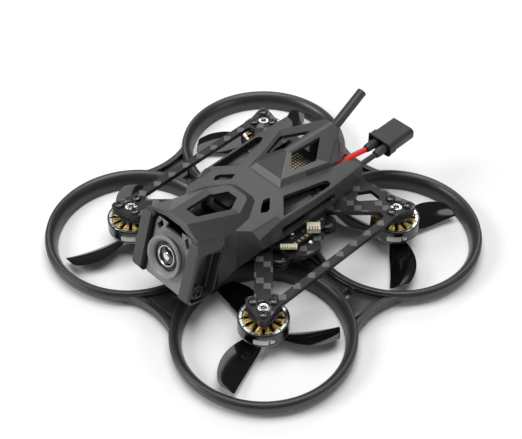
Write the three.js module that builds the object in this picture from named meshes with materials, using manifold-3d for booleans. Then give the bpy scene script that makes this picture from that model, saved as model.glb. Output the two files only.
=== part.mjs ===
// A ducted FPV quadcopter: four shrouded rotors under a carbon plate, a ribbed canopy
// with a tilting camera at the nose (-Y), and two battery leads with their plug at the tail.
// Millimetres, +Z up, origin on the ground under the middle of the four rotors.
import * as THREE from "three";
import { mergeVertices } from "three/addons/utils/BufferGeometryUtils.js";
import Module from "manifold-3d";

const wasm = await Module();
wasm.setup();

// ---------------------------------------------------------------- driving dimensions
const WHEELBASE = 80.8;                       // motor to motor, across the diagonal
const ARM = WHEELBASE / 2 / Math.SQRT2;       // motor centre, along X and along Y
const PLATE_TOP = 15.6;
const PLATE_THICKNESS = 1.5;
const PLATE_BOTTOM = PLATE_TOP - PLATE_THICKNESS;
const ARM_WIDTH = 5.4;
const SIDE_BAR_AT = 30.4;
const SIDE_BAR_WIDTH = 2.5;

const DUCT_BORE = 23.7;                       // inner radius of the throat
const DUCT_RIM = 27.3;                        // outer radius of the rolled lip
const DUCT_HEIGHT = 5.6;
const BAND_LOW = 2.3;                         // upright band round the outside of each duct
const BAND_HIGH = 4.6;
const PROP_RADIUS = 22.5;
const PROP_LEVEL = 3.2;                       // mid height of the blades
const WEB_LOW = BAND_LOW;
const WEB_HIGH = 9.6;                         // top of the ears that carry the dampers
const EAR_THICKNESS = 2.2;
const HUB_RADIUS = 16.5;
const SPAR_WIDTH = 6;
const BATTERY_PAD = 13;                       // side of the square pad under the hub
const DUCT_GAP = 0.15;                        // clearance where another moulding passes a duct
const DAMPER_AT = [16.6, 10.2];
const DAMPER_RADIUS = 3.2;
const DAMPER_NECK = 2.2;

const BELL_RADIUS = 7.5;
const BELL_TOP = 10.95;
const BELL_LOW = 6.05;
const SHAFT_RADIUS = 0.75;
const SHAFT_GAP = 0.05;
const SCREW_CIRCLE = 3.3;
const SCREW_SHANK = 0.65;
const SCREW_HEAD = 1.2;
const SCREW_GAP = 0.25;                       // clearance round a screw in its hole

const CANOPY_WALL = 1.2;
const CAMERA_TILT = THREE.MathUtils.degToRad(18);
const CAMERA_PIVOT = [0, -38.2, PLATE_TOP - 0.5];
const GUARD_OUT = 12.2;                       // half width over the camera guards
const GUARD_IN = 8.2;
const GUARD_FRONT = 4;                        // ahead of the camera pivot
const GUARD_BACK = -6.4;
const PIVOT_SHANK = 1;

const BOARD_LOW = PLATE_TOP + 0.9;
const BOARD_HIGH = BOARD_LOW + 0.8;
const BUTTON_AT = [16.2, -4.6];
const VIDEO_LOW = PLATE_TOP + 7;
const VIDEO_HIGH = VIDEO_LOW + 1.4;

const ANTENNA_RADIUS = 1.55;
const ANTENNA_FOOT = [0, 29, PLATE_TOP + 11.6];
const ANTENNA_TIP = [0, 43.4, PLATE_TOP + 19.6];

const LEAD_RADIUS = 0.9;
const PLUG_LOW = [4.9, 42, PLATE_TOP + 1.5];
const PLUG_HIGH = [14.3, 53.6, PLATE_TOP + 6.5];
const LEAD_LEVEL = (PLUG_LOW[2] + PLUG_HIGH[2]) / 2;

// ---------------------------------------------------------------- materials
function material(color, roughness, metalness = 0) {
  return new THREE.MeshStandardMaterial({ color, roughness, metalness });
}

const looks = {
  frame: () => material(0x2b2c2e, 0.62),
  carbon: () => material(0x1d1e20, 0.45),
  canopy: () => material(0x3a3b3d, 0.6),
  rubber: () => material(0x0c0c0d, 0.8),
  prop: () => material(0x08090a, 0.18),
  aluminium: () => material(0xb9bcc0, 0.3, 0.9),
  gunmetal: () => material(0x54575c, 0.35, 0.9),
  copper: () => material(0xb98b45, 0.4, 0.8),
  steel: () => material(0x303236, 0.35, 0.9),
  camera: () => material(0x77797c, 0.55),
  glass: () => material(0x0a0d12, 0.05),
  board: () => material(0x101312, 0.5),
  cream: () => material(0xe6dfcc, 0.5),
  gold: () => material(0xc9a868, 0.4, 0.7),
  red: () => material(0xc81e12, 0.45),
  black: () => material(0x141414, 0.5),
};

// ---------------------------------------------------------------- geometry helpers
function closed(geometry) {
  const bare = geometry.clone();
  bare.deleteAttribute("normal");
  bare.deleteAttribute("uv");
  return mergeVertices(bare, 1e-5);
}

function solid(geometry) {
  const merged = closed(geometry);
  return new wasm.Manifold(new wasm.Mesh({
    numProp: 3,
    vertProperties: new Float32Array(merged.attributes.position.array),
    triVerts: new Uint32Array(merged.index.array),
  }));
}

function fromSolid(manifold) {
  const mesh = manifold.getMesh();
  const geometry = new THREE.BufferGeometry();
  geometry.setAttribute("position", new THREE.BufferAttribute(new Float32Array(mesh.vertProperties), 3));
  geometry.setIndex(new THREE.BufferAttribute(new Uint32Array(mesh.triVerts), 1));
  return geometry;
}

function join(first, ...others) {
  return others.reduce((sum, other) => sum.add(other), first);
}

function cut(body, ...tools) {
  return tools.reduce((rest, tool) => rest.subtract(tool), body);
}

// A box between two corners.
function box(low, high) {
  const size = high.map((value, i) => value - low[i]);
  const geometry = new THREE.BoxGeometry(...size);
  geometry.translate(...low.map((value, i) => value + size[i] / 2));
  return geometry;
}

// An upright cylinder between two heights.
function cylinder(radius, low, high, x = 0, y = 0, sides = 24) {
  const geometry = new THREE.CylinderGeometry(radius, radius, high - low, sides);
  geometry.rotateX(Math.PI / 2);
  geometry.translate(x, y, (low + high) / 2);
  return geometry;
}

// A round bar between two points.
function bar(radius, from, to, sides = 12) {
  const start = new THREE.Vector3(...from);
  const span = new THREE.Vector3(...to).sub(start);
  const geometry = new THREE.CylinderGeometry(radius, radius, span.length(), sides);
  geometry.translate(0, span.length() / 2, 0);
  geometry.applyQuaternion(new THREE.Quaternion().setFromUnitVectors(
    new THREE.Vector3(0, 1, 0), span.clone().normalize()));
  geometry.translate(...from);
  return geometry;
}

// A turned form about Z from [radius, height] pairs, given anticlockwise.
function turned(profile, sides = 32) {
  const points = profile.map(([radius, height]) => new THREE.Vector2(radius, height));
  const geometry = new THREE.LatheGeometry(points, sides);
  geometry.rotateX(Math.PI / 2);
  return geometry;
}

function ringProfile(points) {
  return [...points, points[0]];
}

function outline(points) {
  return new THREE.Shape(points.map(([x, y]) => new THREE.Vector2(x, y)));
}

// A flat shape in X and Y raised between two heights.
function slab(shape, low, high, curveSegments = 6) {
  const geometry = new THREE.ExtrudeGeometry(shape, {
    depth: high - low, bevelEnabled: false, curveSegments });
  geometry.translate(0, 0, low);
  return geometry;
}

// A flat shape in Y and Z stretched along X.
function sideSlab(points, low, high) {
  const geometry = new THREE.ExtrudeGeometry(outline(points), { depth: high - low, bevelEnabled: false });
  geometry.translate(0, 0, low);
  geometry.applyMatrix4(new THREE.Matrix4().makeBasis(
    new THREE.Vector3(0, 1, 0), new THREE.Vector3(0, 0, 1), new THREE.Vector3(1, 0, 0)));
  return geometry;
}

// A closed skin through rings of points: every ring has the same number of points.
function loft(rings) {
  const count = rings[0].length;
  const positions = rings.flat(2);
  const index = [];
  for (let k = 0; k + 1 < rings.length; k += 1) {
    for (let i = 0; i < count; i += 1) {
      const a = k * count + i;
      const b = k * count + (i + 1) % count;
      index.push(a, b, b + count, a, b + count, a + count);
    }
  }
  const last = (rings.length - 1) * count;
  for (let i = 1; i + 1 < count; i += 1) {
    index.push(0, i + 1, i, last, last + i, last + i + 1);
  }
  const geometry = new THREE.BufferGeometry();
  geometry.setAttribute("position", new THREE.Float32BufferAttribute(positions, 3));
  geometry.setIndex(index);
  return outward(geometry);
}

function outward(geometry) {
  const position = geometry.attributes.position;
  const index = geometry.index.array;
  const [a, b, c] = [new THREE.Vector3(), new THREE.Vector3(), new THREE.Vector3()];
  let volume = 0;
  for (let i = 0; i < index.length; i += 3) {
    a.fromBufferAttribute(position, index[i]);
    b.fromBufferAttribute(position, index[i + 1]);
    c.fromBufferAttribute(position, index[i + 2]);
    volume += a.dot(b.cross(c));
  }
  if (volume < 0) {
    const flipped = Array.from(index);
    for (let i = 0; i < flipped.length; i += 3) {
      [flipped[i + 1], flipped[i + 2]] = [flipped[i + 2], flipped[i + 1]];
    }
    geometry.setIndex(flipped);
  }
  return geometry;
}

const drone = new THREE.Group();

function place(name, geometry, look, position = [0, 0, 0], turn = 0, parent = drone) {
  const mesh = new THREE.Mesh(geometry, look());
  mesh.name = name;
  mesh.position.set(...position);
  mesh.rotation.z = turn;
  parent.add(mesh);
  return mesh;
}

const corners = [
  { name: "front_left", x: ARM, y: -ARM, prop: 42 },
  { name: "front_right", x: -ARM, y: -ARM, prop: 23 },
  { name: "rear_left", x: ARM, y: ARM, prop: 80 },
  { name: "rear_right", x: -ARM, y: ARM, prop: 98 },
];

// ---------------------------------------------------------------- duct frame
// Section of a duct: straight throat, flared mouth, rolled outer lip.
const ductSection = [
  [DUCT_BORE, 0], [24.6, 0], [25.2, BAND_LOW - 0.1], [DUCT_RIM, BAND_LOW], [DUCT_RIM, BAND_HIGH],
  [26.3, DUCT_HEIGHT], [24.8, 4], [DUCT_BORE, 2.2],
];

// Upright strut that joins two neighbouring ducts outside their meeting point: an arc in
// plan that bows in towards the middle of the craft.
const STRUT_AT = 45.3;
const STRUT_BOW = 23.4;
const STRUT_WALL = 1.5;
const STRUT_LOW = 0.8;
const STRUT_REACH = 27;                       // degrees either side of its middle

function strut() {
  const reach = THREE.MathUtils.degToRad(STRUT_REACH);
  const steps = 8;
  const face = (radius) => Array.from({ length: steps + 1 }, (_, i) => {
    const angle = reach * (2 * i / steps - 1);
    return [STRUT_AT + STRUT_BOW - radius * Math.cos(angle), radius * Math.sin(angle)];
  });
  return solid(slab(outline([...face(STRUT_BOW).reverse(), ...face(STRUT_BOW + STRUT_WALL)]),
    STRUT_LOW, BAND_HIGH));
}

const anticlockwise = ["front_left", "rear_left", "rear_right", "front_right"].map(
  (name) => corners.find((corner) => corner.name === name));

// A duct and the strut that follows it anticlockwise; the strut stops short of the next duct.
function duct(corner, quarter) {
  const ring = solid(turned(ringProfile(ductSection), 40)).translate([corner.x, corner.y, 0]);
  const neighbour = anticlockwise[(quarter + 1) % 4];
  const gap = solid(cylinder(DUCT_RIM + DUCT_GAP, 0, DUCT_HEIGHT + 1, neighbour.x, neighbour.y, 96));
  return fromSolid(ring.add(cut(strut().rotate([0, 0, 90 * quarter]), gap)));
}

for (const [quarter, corner] of anticlockwise.entries()) {
  place(`duct_${corner.name}`, duct(corner, quarter), looks.frame);
}

function damperPlace(corner) {
  return [Math.sign(corner.x) * DAMPER_AT[0], Math.sign(corner.y) * DAMPER_AT[1]];
}

// Hub and four spars between the ducts, with an ear under each damper.
function ductWeb() {
  const earLow = WEB_HIGH - EAR_THICKNESS;
  const hub = solid(cylinder(HUB_RADIUS, WEB_LOW, WEB_HIGH - 1.6, 0, 0, 32));
  const crown = solid(turned([[0, WEB_LOW + 1], [9, WEB_LOW + 1], [8.2, PLATE_BOTTOM - 1.4],
    [7, PLATE_BOTTOM], [0, PLATE_BOTTOM]], 28));
  const spars = [0, 1, 2, 3].map((quarter) => (
    solid(box([8, -SPAR_WIDTH / 2, WEB_LOW], [ARM + 5, SPAR_WIDTH / 2, BAND_HIGH]))
      .rotate([0, 0, 90 * quarter])));
  const ears = corners.flatMap((corner) => {
    const [x, y] = damperPlace(corner);
    const pad = solid(cylinder(4, earLow, WEB_HIGH, x, y, 20));
    const arm = solid(slab(outline([[2, -3.2], [19.5, -2.6], [19.5, 2.6], [2, 3.2]]), earLow, WEB_HIGH))
      .rotate([0, 0, THREE.MathUtils.radToDeg(Math.atan2(y, x))]);
    return [pad, arm];
  });
  const clearance = corners.map(({ x, y }) => (
    solid(cylinder(DUCT_RIM + DUCT_GAP, WEB_LOW - 1, DUCT_HEIGHT + 0.3, x, y, 96))));
  return fromSolid(cut(join(hub, crown, ...spars, ...ears), ...clearance));
}

place("duct_web", ductWeb(), looks.frame);

function damper() {
  const height = PLATE_BOTTOM - WEB_HIGH;
  const ribs = 2;
  const profile = [[0, 0], [DAMPER_NECK, 0]];
  for (let rib = 0; rib < ribs; rib += 1) {
    const low = height * (rib + 0.1) / ribs;
    const middle = height * (rib + 0.5) / ribs;
    profile.push([DAMPER_RADIUS - 0.7, low], [DAMPER_RADIUS, middle]);
  }
  profile.push([DAMPER_NECK, height], [0, height]);
  return turned(profile, 14);
}

for (const corner of corners) {
  place(`vibration_damper_${corner.name}`, damper(), looks.rubber, [...damperPlace(corner), WEB_HIGH]);
}

place("battery_pad", box([-BATTERY_PAD / 2, -BATTERY_PAD / 2, WEB_LOW - 1],
  [BATTERY_PAD / 2, BATTERY_PAD / 2, WEB_LOW]), looks.rubber);

// ---------------------------------------------------------------- carbon plate
// Middle of the plate, right half, from the front edge round to the tail.
const plateHalf = [
  [9, -23], [13.4, -16], [13.6, -10.6], [18.4, -9.8], [23.6, -6.4], [24.6, -1], [21.6, 4.2],
  [16.4, 5.6], [13.4, 8], [13.4, 15], [16.9, 20.7], [16.4, 24.7], [17.6, 27.4], [15.2, 29.8],
  [9.5, 31.2],
];
// Bridge from the tail of the middle to the rear motor, outside the light window.
const plateBridge = [
  [14, 29.6], [21.6, 31.3], [27.8, 31.4], [25.6, 27.2], [22.6, 27.8], [18.6, 28.2], [14, 25],
];

function screwPlaces({ x, y }) {
  const outwardAngle = Math.atan2(y, x);
  return [0, 1, 2].map((third) => {
    const angle = outwardAngle + third * 2 * Math.PI / 3;
    return [x + SCREW_CIRCLE * Math.cos(angle), y + SCREW_CIRCLE * Math.sin(angle)];
  });
}

function flipped(points, side) {
  return points.map(([x, y]) => [side * x, y]);
}

// Motor pad: a disc swollen towards its three screws.
function motorPad(corner) {
  const outwardAngle = Math.atan2(corner.y, corner.x);
  const points = Array.from({ length: 24 }, (_, i) => {
    const angle = i / 24 * 2 * Math.PI;
    const radius = 4.3 + Math.cos(3 * (angle - outwardAngle));
    return [corner.x + radius * Math.cos(angle), corner.y + radius * Math.sin(angle)];
  });
  return solid(slab(outline(points), PLATE_BOTTOM, PLATE_TOP));
}

function carbonPlate() {
  const hole = (x, y, radius, sides) => (
    solid(cylinder(radius, PLATE_BOTTOM - 1, PLATE_TOP + 1, x, y, sides)));
  const middle = [...plateHalf, ...flipped(plateHalf, -1).reverse()];
  const pieces = [solid(slab(outline(middle), PLATE_BOTTOM, PLATE_TOP))];
  const holes = [];
  for (const corner of corners) {
    const armShape = solid(box([12, -ARM_WIDTH / 2, PLATE_BOTTOM],
      [WHEELBASE / 2, ARM_WIDTH / 2, PLATE_TOP]));
    const heading = THREE.MathUtils.radToDeg(Math.atan2(corner.y, corner.x));
    pieces.push(armShape.rotate([0, 0, heading]), motorPad(corner));
    holes.push(hole(corner.x, corner.y, 1.9, 16));
    for (const [x, y] of screwPlaces(corner)) {
      holes.push(hole(x, y, SCREW_SHANK + SCREW_GAP, 8));
    }
  }
  for (const side of [-1, 1]) {
    const inner = side * SIDE_BAR_AT - SIDE_BAR_WIDTH / 2;
    pieces.push(solid(box([inner, -ARM, PLATE_BOTTOM], [inner + SIDE_BAR_WIDTH, ARM, PLATE_TOP])));
    const bridge = side > 0 ? plateBridge : flipped(plateBridge, -1).reverse();
    pieces.push(solid(slab(outline(bridge), PLATE_BOTTOM, PLATE_TOP)));
    holes.push(hole(side * 21, -1.5, 1, 10));
  }
  for (const front of [-14, 12]) {
    holes.push(solid(box([-9, front, PLATE_BOTTOM - 1], [9, front + 2.6, PLATE_TOP + 1])));
  }
  return fromSolid(cut(join(...pieces), ...holes));
}

place("carbon_plate", carbonPlate(), looks.carbon);

// ---------------------------------------------------------------- motors and propellers
const STATOR_TEETH = 12;

function motorBase(corner) {
  const profile = [[1.05, 7.2], [2.2, 7.2], [2.2, 11.9], [5.2, 12.3], [5.2, PLATE_BOTTOM],
    [1.05, PLATE_BOTTOM]];
  const body = solid(turned(ringProfile(profile), 18));
  const holes = screwPlaces(corner).map(([x, y]) => solid(
    cylinder(SCREW_SHANK + SCREW_GAP, 11, PLATE_BOTTOM + 1, x - corner.x, y - corner.y, 8)));
  return fromSolid(cut(body, ...holes));
}

// Wound stator: a ring of teeth, each fattened by its coil.
function stator() {
  const star = [];
  const pitch = 2 * Math.PI / STATOR_TEETH;
  for (let tooth = 0; tooth < STATOR_TEETH; tooth += 1) {
    for (const [radius, part] of [[3.6, -0.5], [6.4, -0.36], [6.4, 0.36]]) {
      const angle = (tooth + part) * pitch;
      star.push([radius * Math.cos(angle), radius * Math.sin(angle)]);
    }
  }
  const shape = outline(star);
  shape.holes.push(new THREE.Path().absarc(0, 0, 2.5, 0, 2 * Math.PI, true));
  return slab(shape, 7.4, 10.7, 10);
}

// Cup that turns round the stator, open at the top, with its floor on the shaft.
function bell() {
  const wall = 0.7;
  const floor = BELL_LOW + 0.8;
  const bore = SHAFT_RADIUS + SHAFT_GAP;
  return turned(ringProfile([
    [bore, BELL_LOW], [BELL_RADIUS - 0.6, BELL_LOW], [BELL_RADIUS, BELL_LOW + 0.6],
    [BELL_RADIUS, BELL_TOP], [BELL_RADIUS - wall, BELL_TOP], [BELL_RADIUS - wall, floor],
    [bore, floor]]), 24);
}

// Stations of a blade: radius, chord, pitch in degrees, sweep of the middle, thickness.
const bladeStations = [
  [2.2, 4.2, 34, 0, 1.3], [6, 6.4, 30, 0.6, 1.1], [10.5, 8.2, 24, 1, 0.9], [15, 8.8, 19, 0.7, 0.8],
  [19, 7.8, 15, -0.4, 0.7], [21.6, 5.6, 12, -1.8, 0.6], [PROP_RADIUS - 0.5, 2.6, 10, -2.8, 0.5],
];

function propeller(spin) {
  const rings = bladeStations.map(([radius, chord, pitch, sweep, thickness]) => {
    const tilt = THREE.MathUtils.degToRad(pitch);
    return [[-0.5, 0], [-0.12, 0.5], [0.22, 0.42], [0.5, 0], [0.22, -0.42], [-0.12, -0.5]].map(
      ([along, up]) => {
        const across = along * chord;
        const rise = up * thickness;
        return [radius, spin * (sweep + across * Math.cos(tilt) - rise * Math.sin(tilt)),
          PROP_LEVEL + across * Math.sin(tilt) + rise * Math.cos(tilt)];
      });
  });
  const blade = solid(loft(rings));
  const hub = solid(cylinder(3, 1, BELL_LOW - 0.1, 0, 0, 20));
  const bore = solid(cylinder(SHAFT_RADIUS + SHAFT_GAP, 0, BELL_LOW + 1, 0, 0, 12));
  const blades = [0, 120, 240].map((angle) => blade.rotate([0, 0, angle]));
  return fromSolid(cut(join(hub, ...blades), bore));
}

function motorScrew() {
  return turned([[0, -2.6], [SCREW_SHANK, -2.6], [SCREW_SHANK, 0], [SCREW_HEAD, 0], [SCREW_HEAD, 0.6],
    [0, 1]], 8);
}

for (const corner of corners) {
  const at = [corner.x, corner.y, 0];
  const spin = corner.x * corner.y > 0 ? 1 : -1;
  place(`motor_base_${corner.name}`, motorBase(corner), looks.aluminium, at);
  place(`motor_stator_${corner.name}`, stator(), looks.copper, at);
  place(`motor_bell_${corner.name}`, bell(), looks.gunmetal, at);
  place(`motor_shaft_${corner.name}`, cylinder(SHAFT_RADIUS, 1.6, 12, 0, 0, 12), looks.steel, at);
  place(`propeller_${corner.name}`, propeller(spin), looks.prop, at, THREE.MathUtils.degToRad(corner.prop));
  for (const [i, [x, y]] of screwPlaces(corner).entries()) {
    place(`motor_screw_${corner.name}_${i + 1}`, motorScrew(), looks.steel, [x, y, PLATE_TOP]);
  }
}

// ---------------------------------------------------------------- canopy
// Half section of the canopy body: [x, z] of its lower edge, shoulder and deck edge.
function bodyRing(y, [lowX, lowZ], [shoulderX, shoulderZ], [deckX, deckZ]) {
  const half = [[lowX, lowZ], [shoulderX, shoulderZ], [deckX, deckZ]];
  const other = half.map(([x, z]) => [-x, z]).reverse();
  return [...half, ...other].map(([x, z]) => [x, y, PLATE_TOP + z]);
}

const deckStations = [
  [-33, [12.2, -3.4], [11.2, 16.2], [8, 17]],
  [-24, [13, -0.3], [11.8, 14.2], [8.4, 14.8]],
  [-16, [14.6, 2.4], [13.6, 12.2], [9, 12.6]],
  [-8, [16.4, 4.6], [15.7, 10.6], [10, 11.2]],
  [4, [16.9, 3.8], [16.2, 10.3], [10, 10.9]],
  [14, [17, 4], [16.4, 10.1], [10, 10.7]],
  [27, [17, 4.2], [16.4, 9.8], [10, 10.4]],
];

// Half section of the raised block behind the camera: its foot and its top edge.
const capStations = [
  [-36, [10.2, 17.2], [3.5, 18.6]],
  [-34, [10.4, 16.8], [3.8, 18.2]],
  [-28, [11, 15], [5, 16.2]],
  [-17, [11.4, 11.8], [7.1, 13.3]],
  [-10.6, [4.6, 10.9], [3.1, 13.1]],
];

const humpStations = [
  [0.8, [6.6, 10.2], [6.3, 10.8], [2, 10.9]],
  [2, [6.4, 10], [5.8, 12.7], [2, 12.9]],
  [9.9, [8.2, 10], [7, 13.5], [1.2, 15.8]],
  [20, [9.6, 9.4], [8.4, 13], [2, 15.3]],
  [25.5, [8, 7], [6.6, 12.6], [2.3, 14.9]],
  [31.4, [5.6, 7], [4, 11.8], [2.4, 14.1]],
];

function capRing(y, [footX, footZ], [topX, topZ]) {
  return bodyRing(y, [footX, footZ - 4], [footX, footZ], [topX, topZ]);
}

// The same section drawn in by the wall, and dropped so that the shell stays open below.
function drawnIn(stations, wall, drop) {
  return stations.map(([y, [lowX, lowZ], ...rest]) => [y, [lowX - wall, lowZ - drop],
    ...rest.map(([x, z]) => [Math.max(x - wall * 0.8, 0.6), z - wall])]);
}

// Tilted frame of the camera: forward along its view, and up along its face.
function tilted(geometry) {
  geometry.rotateX(-CAMERA_TILT);
  geometry.translate(...CAMERA_PIVOT);
  return geometry;
}

function sideProfile(points, low, high) {
  return tilted(sideSlab(points.map(([forward, up]) => [-forward, up]), low, high));
}

// Side of a camera guard, as [forward, up] from the camera pivot.
const guardSide = [
  [GUARD_FRONT, -2.2], [2.4, -3.8], [-3.6, -3.9], [-5.8, -3], [GUARD_BACK, -1.4], [GUARD_BACK, 15.4],
  [GUARD_FRONT - 1, 17.3], [GUARD_FRONT, 16.6],
];

function canopyOuter() {
  const body = solid(loft(deckStations.map((row) => bodyRing(...row))));
  const cap = solid(loft(capStations.map((row) => capRing(...row))));
  const hump = solid(loft(humpStations.map((row) => bodyRing(...row))));
  const hood = solid(sideProfile(guardSide, -GUARD_OUT, GUARD_OUT));
  const shoulderCut = [-1, 1].map((side) => {
    const corner = outward(closed(slab(outline([[side * 10, 18.6], [side * 14, 18.6], [side * 14, 12]]),
      -8, 14)));
    corner.rotateX(Math.PI / 2);
    return solid(tilted(corner));
  });
  return join(cut(hood, ...shoulderCut), body, cap, hump);
}

function canopyInner() {
  const body = solid(loft(drawnIn(deckStations, CANOPY_WALL, 12).map((row) => bodyRing(...row))));
  const [lastY, ...lastSection] = deckStations.at(-1);
  const tail = drawnIn([[lastY - 1, ...lastSection], [lastY + 4, ...lastSection]], CANOPY_WALL, 12);
  const tailGap = solid(loft(tail.map((row) => bodyRing(...row))));
  const cap = solid(loft(drawnIn(capStations, CANOPY_WALL, 4).map((row) => capRing(...row))));
  const shortened = humpStations.map(([y, ...section], i, all) => (
    [y + (i === 0 ? 1 : 0) - (i === all.length - 1 ? 1.4 : 0), ...section]));
  const hump = solid(loft(drawnIn(shortened, CANOPY_WALL, 4).map((row) => bodyRing(...row))));
  const cavity = solid(sideProfile([[8, -7], [-12, -7], [-12, 13], [8, 13]], -GUARD_IN, GUARD_IN));
  return [body, tailGap, cap, hump, cavity, solid(cameraMouth())];
}

// Mouth of the hood across the camera face: upright sides under a chamfered arch.
function cameraMouth() {
  const half = [[GUARD_IN, -7], [GUARD_IN, 14.4], [7.4, 16.4], [3, 18.2]];
  const geometry = slab(outline([...half, ...flipped(half, -1).reverse()]), -2, 8);
  geometry.rotateX(Math.PI / 2);
  return tilted(geometry);
}

// Openings cut straight down, as plan outlines of the right half, with their lowest height.
const frontWindow = [[1.7, -28.7], [4.2, -17.5], [1.8, -12.6]];
const downCuts = [
  { floor: 8, plan: [[9.9, -11.6], [8.2, -9], [7.2, -4.8], [8.8, -5.2]] },
  { floor: 8, plan: [[15.2, -7.2], [9.3, -0.8], [12.2, 13.2], [14.6, 13.6]] },
  { floor: 11.2, plan: [[1.5, 10.6], [2.3, 22.6], [7.6, 14.6], [5.6, 5.6]] },
];

function downCut(plan, floor) {
  return solid(slab(outline(plan), PLATE_TOP + floor, PLATE_TOP + 22));
}

function mirroredCuts(plan, floor) {
  const left = downCut(plan, floor);
  return [left, left.mirror([1, 0, 0])];
}

function canopy() {
  const windows = downCuts.flatMap(({ plan, floor }) => mirroredCuts(plan, floor));
  windows.push(downCut([...frontWindow, ...flipped(frontWindow, -1).reverse()], 9));
  const sides = [-1, 1].flatMap((side) => {
    const low = Math.min(side * 13, side * 20);
    const skirtGap = box([low, -8, PLATE_TOP - 2], [low + 7, 13.5, PLATE_TOP + 7.3]);
    const pocketOut = side > 0 ? 11 : -13;
    const pocket = sideProfile([[2.6, -1.8], [-4.9, -1.8], [-4.9, 12.6], [1.2, 12.6], [2.6, 8]],
      pocketOut, pocketOut + 2);
    return [solid(skirtGap), solid(pocket)];
  });
  const pivotBore = solid(bar(PIVOT_SHANK + 0.3, [-14, ...CAMERA_PIVOT.slice(1)],
    [14, ...CAMERA_PIVOT.slice(1)], 16));
  const antennaBore = solid(bar(ANTENNA_RADIUS + 0.3, [0, 24, ANTENNA_FOOT[2] - 2.8], ANTENNA_TIP, 16));
  return fromSolid(cut(canopyOuter(), ...canopyInner(), ...windows, ...sides, pivotBore, antennaBore));
}

place("canopy", canopy(), looks.canopy);

// ---------------------------------------------------------------- camera
// Everything here is drawn in the tilted frame: forward is -Y and up the face is +Z.
const camera = new THREE.Group();
camera.position.set(...CAMERA_PIVOT);
camera.rotation.x = -CAMERA_TILT;
drone.add(camera);
const LENS_UP = 6.7;

function turnedForward(profile, sides) {
  const geometry = turned(profile, sides);
  geometry.rotateX(Math.PI / 2);
  geometry.translate(0, 0, LENS_UP);
  return geometry;
}

function cameraBezel() {
  const face = [[7.5, -3.4], [7.5, 13.6], [6.7, 15.4], [2.7, 17], [-2.7, 17], [-6.7, 15.4],
    [-7.5, 13.6], [-7.5, -3.4]];
  const plate = slab(outline(face), 0.9, 2);
  plate.rotateX(Math.PI / 2);
  const bore = solid(turnedForward([[0, -1], [5.2, -1], [5.2, 4], [0, 4]], 32));
  const slot = solid(box([-3.2, -4, 13.9], [3.2, 0, 15.4]));
  const sideSlots = [-1, 1].map((side) => (
    solid(box([-0.7, -4, -1.6], [0.7, 0, 1.6])).rotate([0, side * 32, 0]).translate([side * 5.3, 0, 13.1])));
  return fromSolid(cut(solid(plate), bore, slot, ...sideSlots));
}

function cameraBody() {
  const block = solid(box([-7, -0.6, -2.8], [7, 6.5, 12.4]));
  const threads = [-1, 1].map((side) => (
    solid(bar(PIVOT_SHANK - 0.3, [side * 5, 0, 0], [side * 9, 0, 0], 12))));
  return fromSolid(cut(block, ...threads));
}

place("camera_bezel", cameraBezel(), looks.camera, [0, 0, 0], 0, camera);
place("camera_body", cameraBody(), looks.camera, [0, 0, 0], 0, camera);
place("camera_lens_barrel", turnedForward(ringProfile([
  [3.4, 0.9], [4.9, 0.9], [4.9, 2.2], [6.5, 3.6], [6.5, 4.3], [6, 4.6], [4.7, 3.6], [4.3, 2.6],
  [4.1, 3.2], [3.4, 3.2]]), 24), looks.camera, [0, 0, 0], 0, camera);
place("camera_lens_glass", turnedForward([
  [0, 1.2], [3.1, 1.2], [3.1, 2.4], [2.2, 3], [0, 3.3]], 24), looks.glass, [0, 0, 0], 0, camera);
for (const [side, name] of [[1, "left"], [-1, "right"]]) {
  const screw = turned([[0, -5], [PIVOT_SHANK - 0.4, -5], [PIVOT_SHANK - 0.4, 0], [1.7, 0], [1.7, 0.7],
    [1.2, 1.1], [0, 1.1]], 16);
  screw.rotateY(side * Math.PI / 2);
  place(`camera_pivot_screw_${name}`, screw, looks.steel, [side * 11.1, 0, 0], 0, camera);
}

// ---------------------------------------------------------------- electronics
const boardHalf = [[13.6, -13.4], [20, -7.4], [20, 5.6], [14, 13], [5, 15]];

function flightController() {
  const plan = [...boardHalf, ...flipped(boardHalf, -1).reverse()];
  const sheet = solid(slab(outline(plan), BOARD_LOW, BOARD_HIGH));
  const feet = [[11.5, -9], [11.5, 9.5], [-11.5, -9], [-11.5, 9.5]].map(([x, y]) => (
    solid(cylinder(1.5, PLATE_TOP, BOARD_LOW + 0.4, x, y, 12))));
  const [bx, by] = BUTTON_AT;
  const housing = solid(box([bx - 1.3, by - 1.3, BOARD_LOW + 0.4], [bx + 1.3, by + 1.3, BOARD_HIGH + 0.5]));
  return fromSolid(join(sheet, ...feet, housing));
}

function videoBoard() {
  const sheet = solid(box([-9.5, 0, VIDEO_LOW], [9.5, 21, VIDEO_HIGH]));
  const feet = [[8.2, 2], [8.2, 17.5], [-8.2, 2], [-8.2, 17.5]].map(([x, y]) => (
    solid(cylinder(1.2, BOARD_HIGH, VIDEO_LOW + 0.5, x, y, 12))));
  return fromSolid(join(sheet, ...feet));
}

function connector(length, height) {
  const shell = solid(box([-length / 2, -1.5, 0], [length / 2, 1.5, height]));
  const mouth = solid(box([-length / 2 + 0.4, -2, 0.3], [length / 2 - 0.4, 0.6, height - 0.3]));
  return fromSolid(cut(shell, mouth));
}

const quarterTurn = Math.PI / 4;
place("flight_controller", flightController(), looks.board);
place("video_board", videoBoard(), looks.gold);
place("receiver_connector", connector(5, 1.3), looks.cream, [18.4, -8, BOARD_HIGH], quarterTurn);
place("light_connector", connector(4, 2.4), looks.cream, [18.6, 2, BOARD_HIGH], quarterTurn);
place("boot_button", cylinder(0.8, BOARD_HIGH + 0.85, BOARD_HIGH + 1.6, ...BUTTON_AT, 12), looks.aluminium);
place("antenna_tube", bar(ANTENNA_RADIUS, ANTENNA_FOOT, ANTENNA_TIP, 20), looks.black);

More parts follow.
